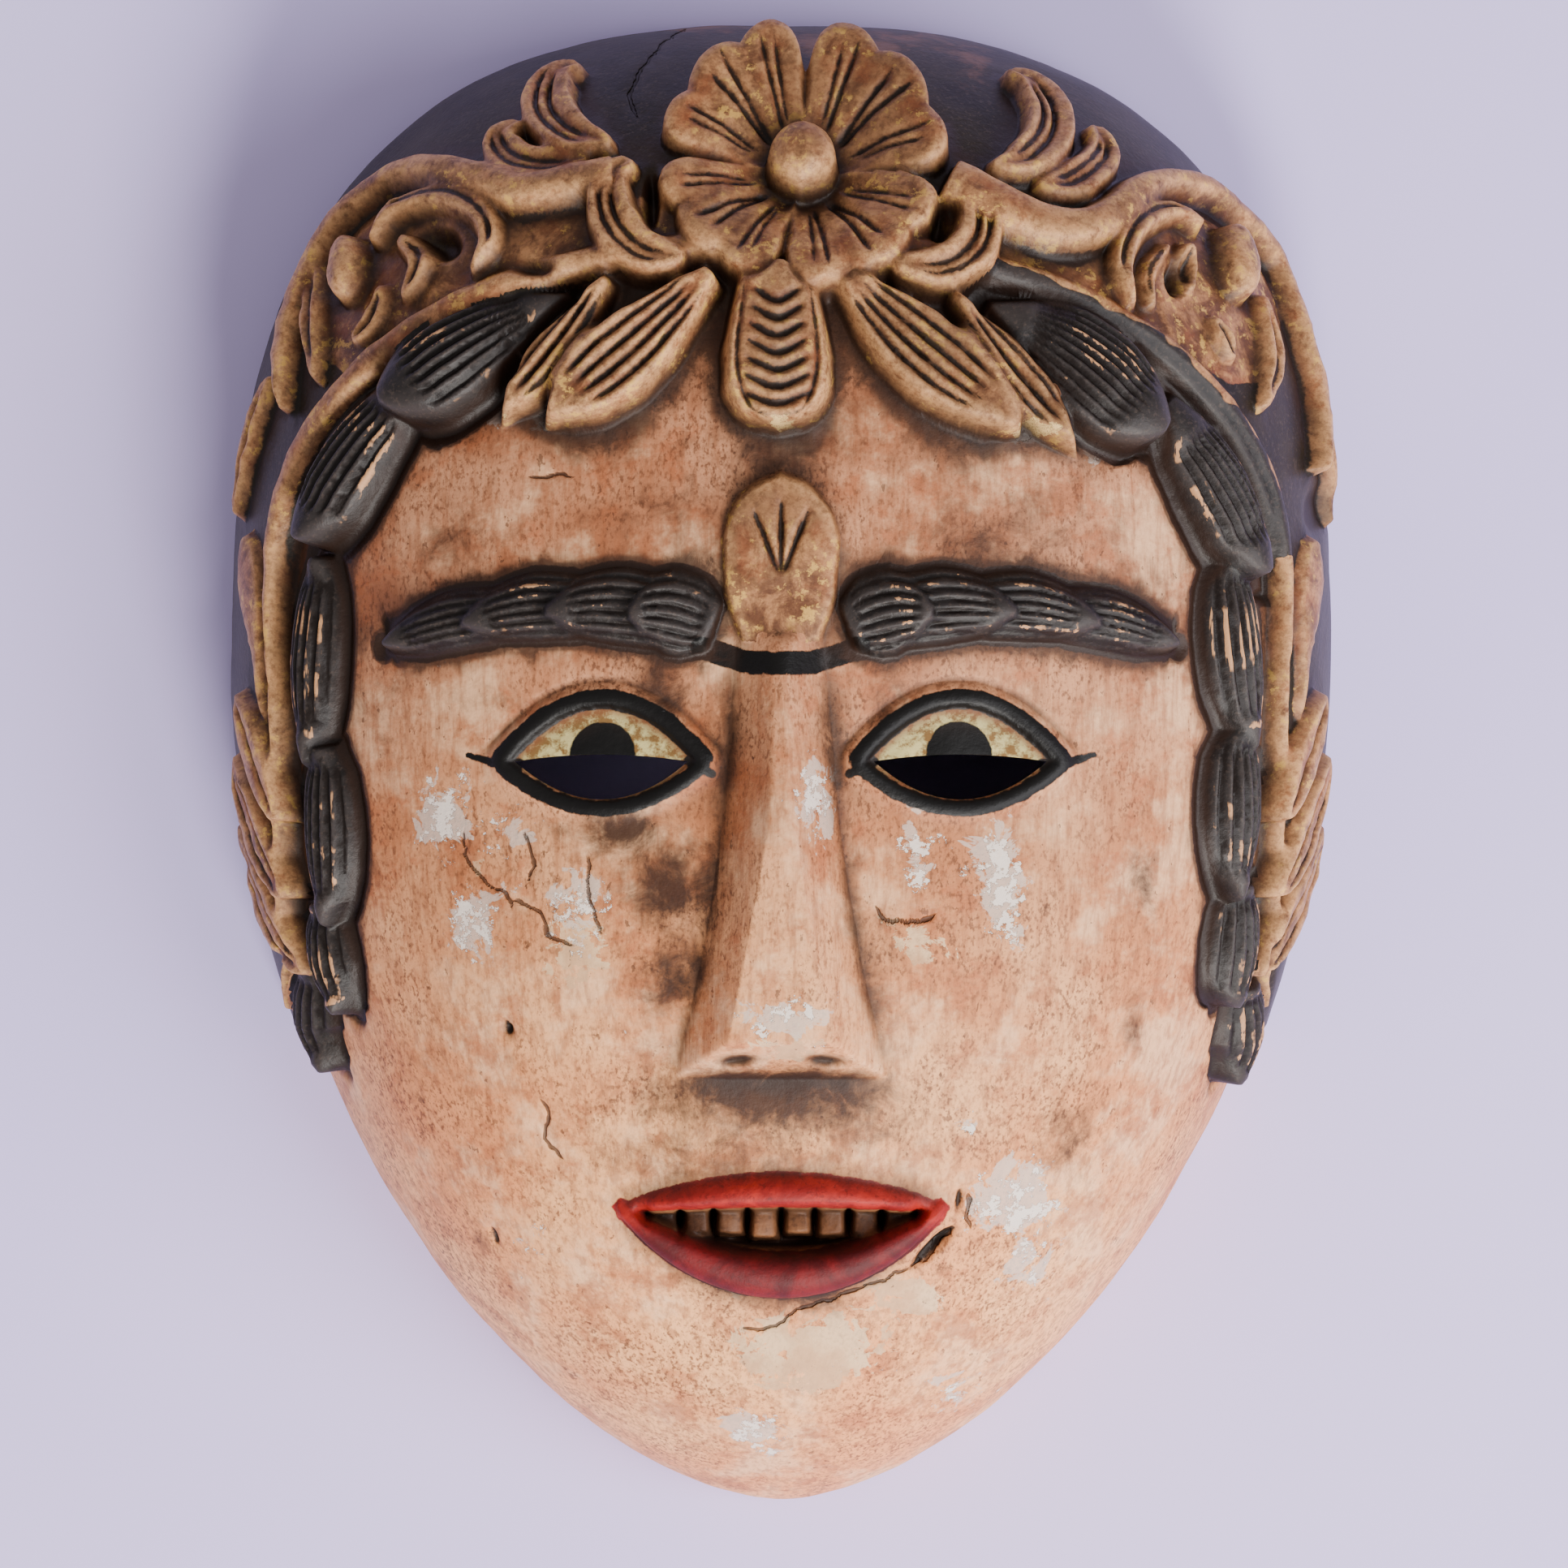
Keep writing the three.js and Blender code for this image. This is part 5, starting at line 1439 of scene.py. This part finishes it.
def tooth_colour(wood):
    """Bare brown wood with specks of dirt."""
    tone = wood.blend(wood.crumb(), colour(92, 54, 32), colour(166, 112, 72))
    specks = wood.times(wood.ease(wood.grain(1.0, 3, 0.65), 0.5, 0.7), 0.5)
    return wood.blend(specks, tone, colour(60, 36, 24))


def eye_colour(wood):
    """Tarnished gilt with a green cast, browned toward its edge."""
    tone = wood.ease(wood.crumb(), 0.4, 0.6)
    gold = wood.blend(tone, colour(128, 94, 50), colour(206, 190, 128))
    edge = wood.ease(wood.attribute("eye"), 1.6, 0.3)
    return wood.coat(gold, edge, 0.75, colour(136, 78, 46))


# How far the red paint runs past the foot of the lips
LIP_BEYOND = 0.3


def painted_wood():
    """All the paints of the mask, one over the other, with age and painted shade over them all."""
    wood = Finish("painted wood")
    skin, crack, flake = skin_colour(wood)
    ragged = wood.times(wood.math("SUBTRACT", wood.crumb(), 0.5), 0.8)

    def covers(name, edge=0.12, beyond=0.0):
        """1 where a paint lies, with a slightly ragged edge."""
        return wood.ease(wood.math("ADD", wood.attribute(name), ragged), -beyond - edge, edge - beyond)

    cap_tone = wood.ease(wood.cloud(), 0.35, 0.65)
    cap = wood.blend(cap_tone, colour(25, 20, 8), colour(44, 36, 18))
    cap_dust = wood.ease(wood.dust(), 0.54, 0.68)
    cap = wood.coat(cap, cap_dust, 0.35, colour(84, 70, 56))
    rubbed = patch(wood, "bare", wood.times(wood.blotch(), 2.0), 1.5, 2.1)
    cap = wood.coat(cap, rubbed, 0.7, colour(122, 84, 58))
    shade = wood.blend(covers("cap"), skin, cap)
    shade = wood.blend(covers("gilt"), shade, gilt_colour(wood))
    shade = wood.blend(covers("hair"), shade, black_colour(wood))
    shade = wood.blend(covers("lips", 0.1, LIP_BEYOND), shade, lip_colour(wood))
    shade = wood.blend(wood.attribute("mouth"), shade, colour(34, 18, 14))
    shade = wood.blend(covers("teeth"), shade, tooth_colour(wood))
    shade = wood.blend(covers("eye"), shade, eye_colour(wood))
    shade = wood.blend(covers("pupil"), shade, colour(6, 5, 4))
    shade = wood.blend(covers("line"), shade, colour(9, 7, 6))
    # Painted shade and dirt: darker round the foot of raised forms and beside the hair, less on the gilt
    ground_shade_and_dirt = wood.times(wood.attribute("ground"), wood.ease(wood.blotch(), 0.1, 0.55))
    ground_shade_and_dirt = wood.times(ground_shade_and_dirt, wood.rate(covers("gilt"), 1.0, 0.6))
    shade = wood.coat(shade, wood.ease(ground_shade_and_dirt, 0.02, 0.5), 0.85, colour(50, 30, 20))
    # Painted shade and dirt: darker in the narrow hollows of the carving
    shade = wood.coat(shade, wood.attribute("crevice_shade_and_dirt"), 0.8, colour(24, 15, 11))
    # Painted shade and dirt along the knife cuts
    frayed = wood.times(wood.math("SUBTRACT", wood.crumb(), 0.5), 1.1)
    cut = wood.ease(wood.math("ADD", wood.attribute("cut"), frayed), -0.16, 0.16)
    shade = wood.coat(shade, cut, 0.9, colour(22, 13, 9))
    dark = wood.math("MAXIMUM", covers("hair"), wood.math("MAXIMUM", covers("cap"), covers("line")))
    rough = wood.rate(dark, 0.56, 0.46)
    relief = wood.math("ADD", wood.grain(1.0, 3, 0.65), wood.times(crack, -3.0))
    relief = wood.math("ADD", relief, wood.times(flake, -1.2))
    wood.shader.inputs["Specular IOR Level"].default_value = 0.24
    return wood.finish(shade, rough, relief, 0.09)


def bare_wood():
    """Plain wood, cut with a gouge, dull with handling and dirt."""
    wood = Finish("bare wood")
    fibres = wood.grain(1.4, 4, 0.6, 0.06)
    broad = wood.ease(wood.grain(30, 4), 0.35, 0.65)
    shade = wood.blend(fibres, colour(112, 78, 52), colour(176, 132, 94))
    shade = wood.coat(shade, broad, 0.45, colour(92, 64, 46))
    return wood.finish(shade, 0.78, fibres, 0.12)


def floor_finish():
    """A plain pale backdrop."""
    paper = Finish("backdrop")
    tone = paper.ease(paper.grain(160, 2), 0.3, 0.7)
    shade = paper.blend(tone, colour(212, 197, 254), colour(218, 203, 255))
    return paper.finish(shade, 0.9)


# The studio

def lay_floor():
    bpy.ops.object.select_all(action="DESELECT")
    bpy.ops.mesh.primitive_plane_add(size=6, location=(0, 0, -0.0005))
    floor = bpy.context.object
    floor.name = "floor"
    floor.data.materials.append(floor_finish())


def add_lamp(name, place, aim, size, power, tint):
    bpy.ops.object.light_add(type="AREA", location=place)
    lamp = bpy.context.object
    lamp.name = name
    lamp.data.shape = "DISK"
    lamp.data.size, lamp.data.energy, lamp.data.color = size, power, tint
    lamp.rotation_euler = (Vector(aim) - Vector(place)).to_track_quat("-Z", "Y").to_euler()


def light_studio():
    add_lamp("key", (0.25, -0.95, 0.8), (0, -0.02, 0.03), 0.45, 22.0, (1.0, 0.975, 0.94))
    add_lamp("fill", (0.85, -0.3, 0.85), (0, 0, 0.03), 0.9, 16.0, (0.97, 0.96, 1.0))
    world = bpy.data.worlds.new("studio")
    bpy.context.scene.world = world
    world.use_nodes = True
    world.node_tree.nodes["Background"].inputs["Color"].default_value = (0.86, 0.83, 0.84, 1)
    world.node_tree.nodes["Background"].inputs["Strength"].default_value = 0.6


FRAME_WIDTH = 0.2094
CAMERA_PLACE = (0.0004, -0.0029, 1.0)


def add_camera():
    bpy.ops.object.camera_add(location=CAMERA_PLACE, rotation=(0, 0, 0))
    camera = bpy.context.object
    camera.data.sensor_fit = "HORIZONTAL"
    camera.data.angle = 2 * math.atan(FRAME_WIDTH / 2 / (CAMERA_PLACE[2] - OUTLINE_HEIGHT * MM))
    bpy.context.scene.camera = camera


mask = build_mask()
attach(mask, "root")
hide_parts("mask")
lay_floor()
light_studio()
add_camera()
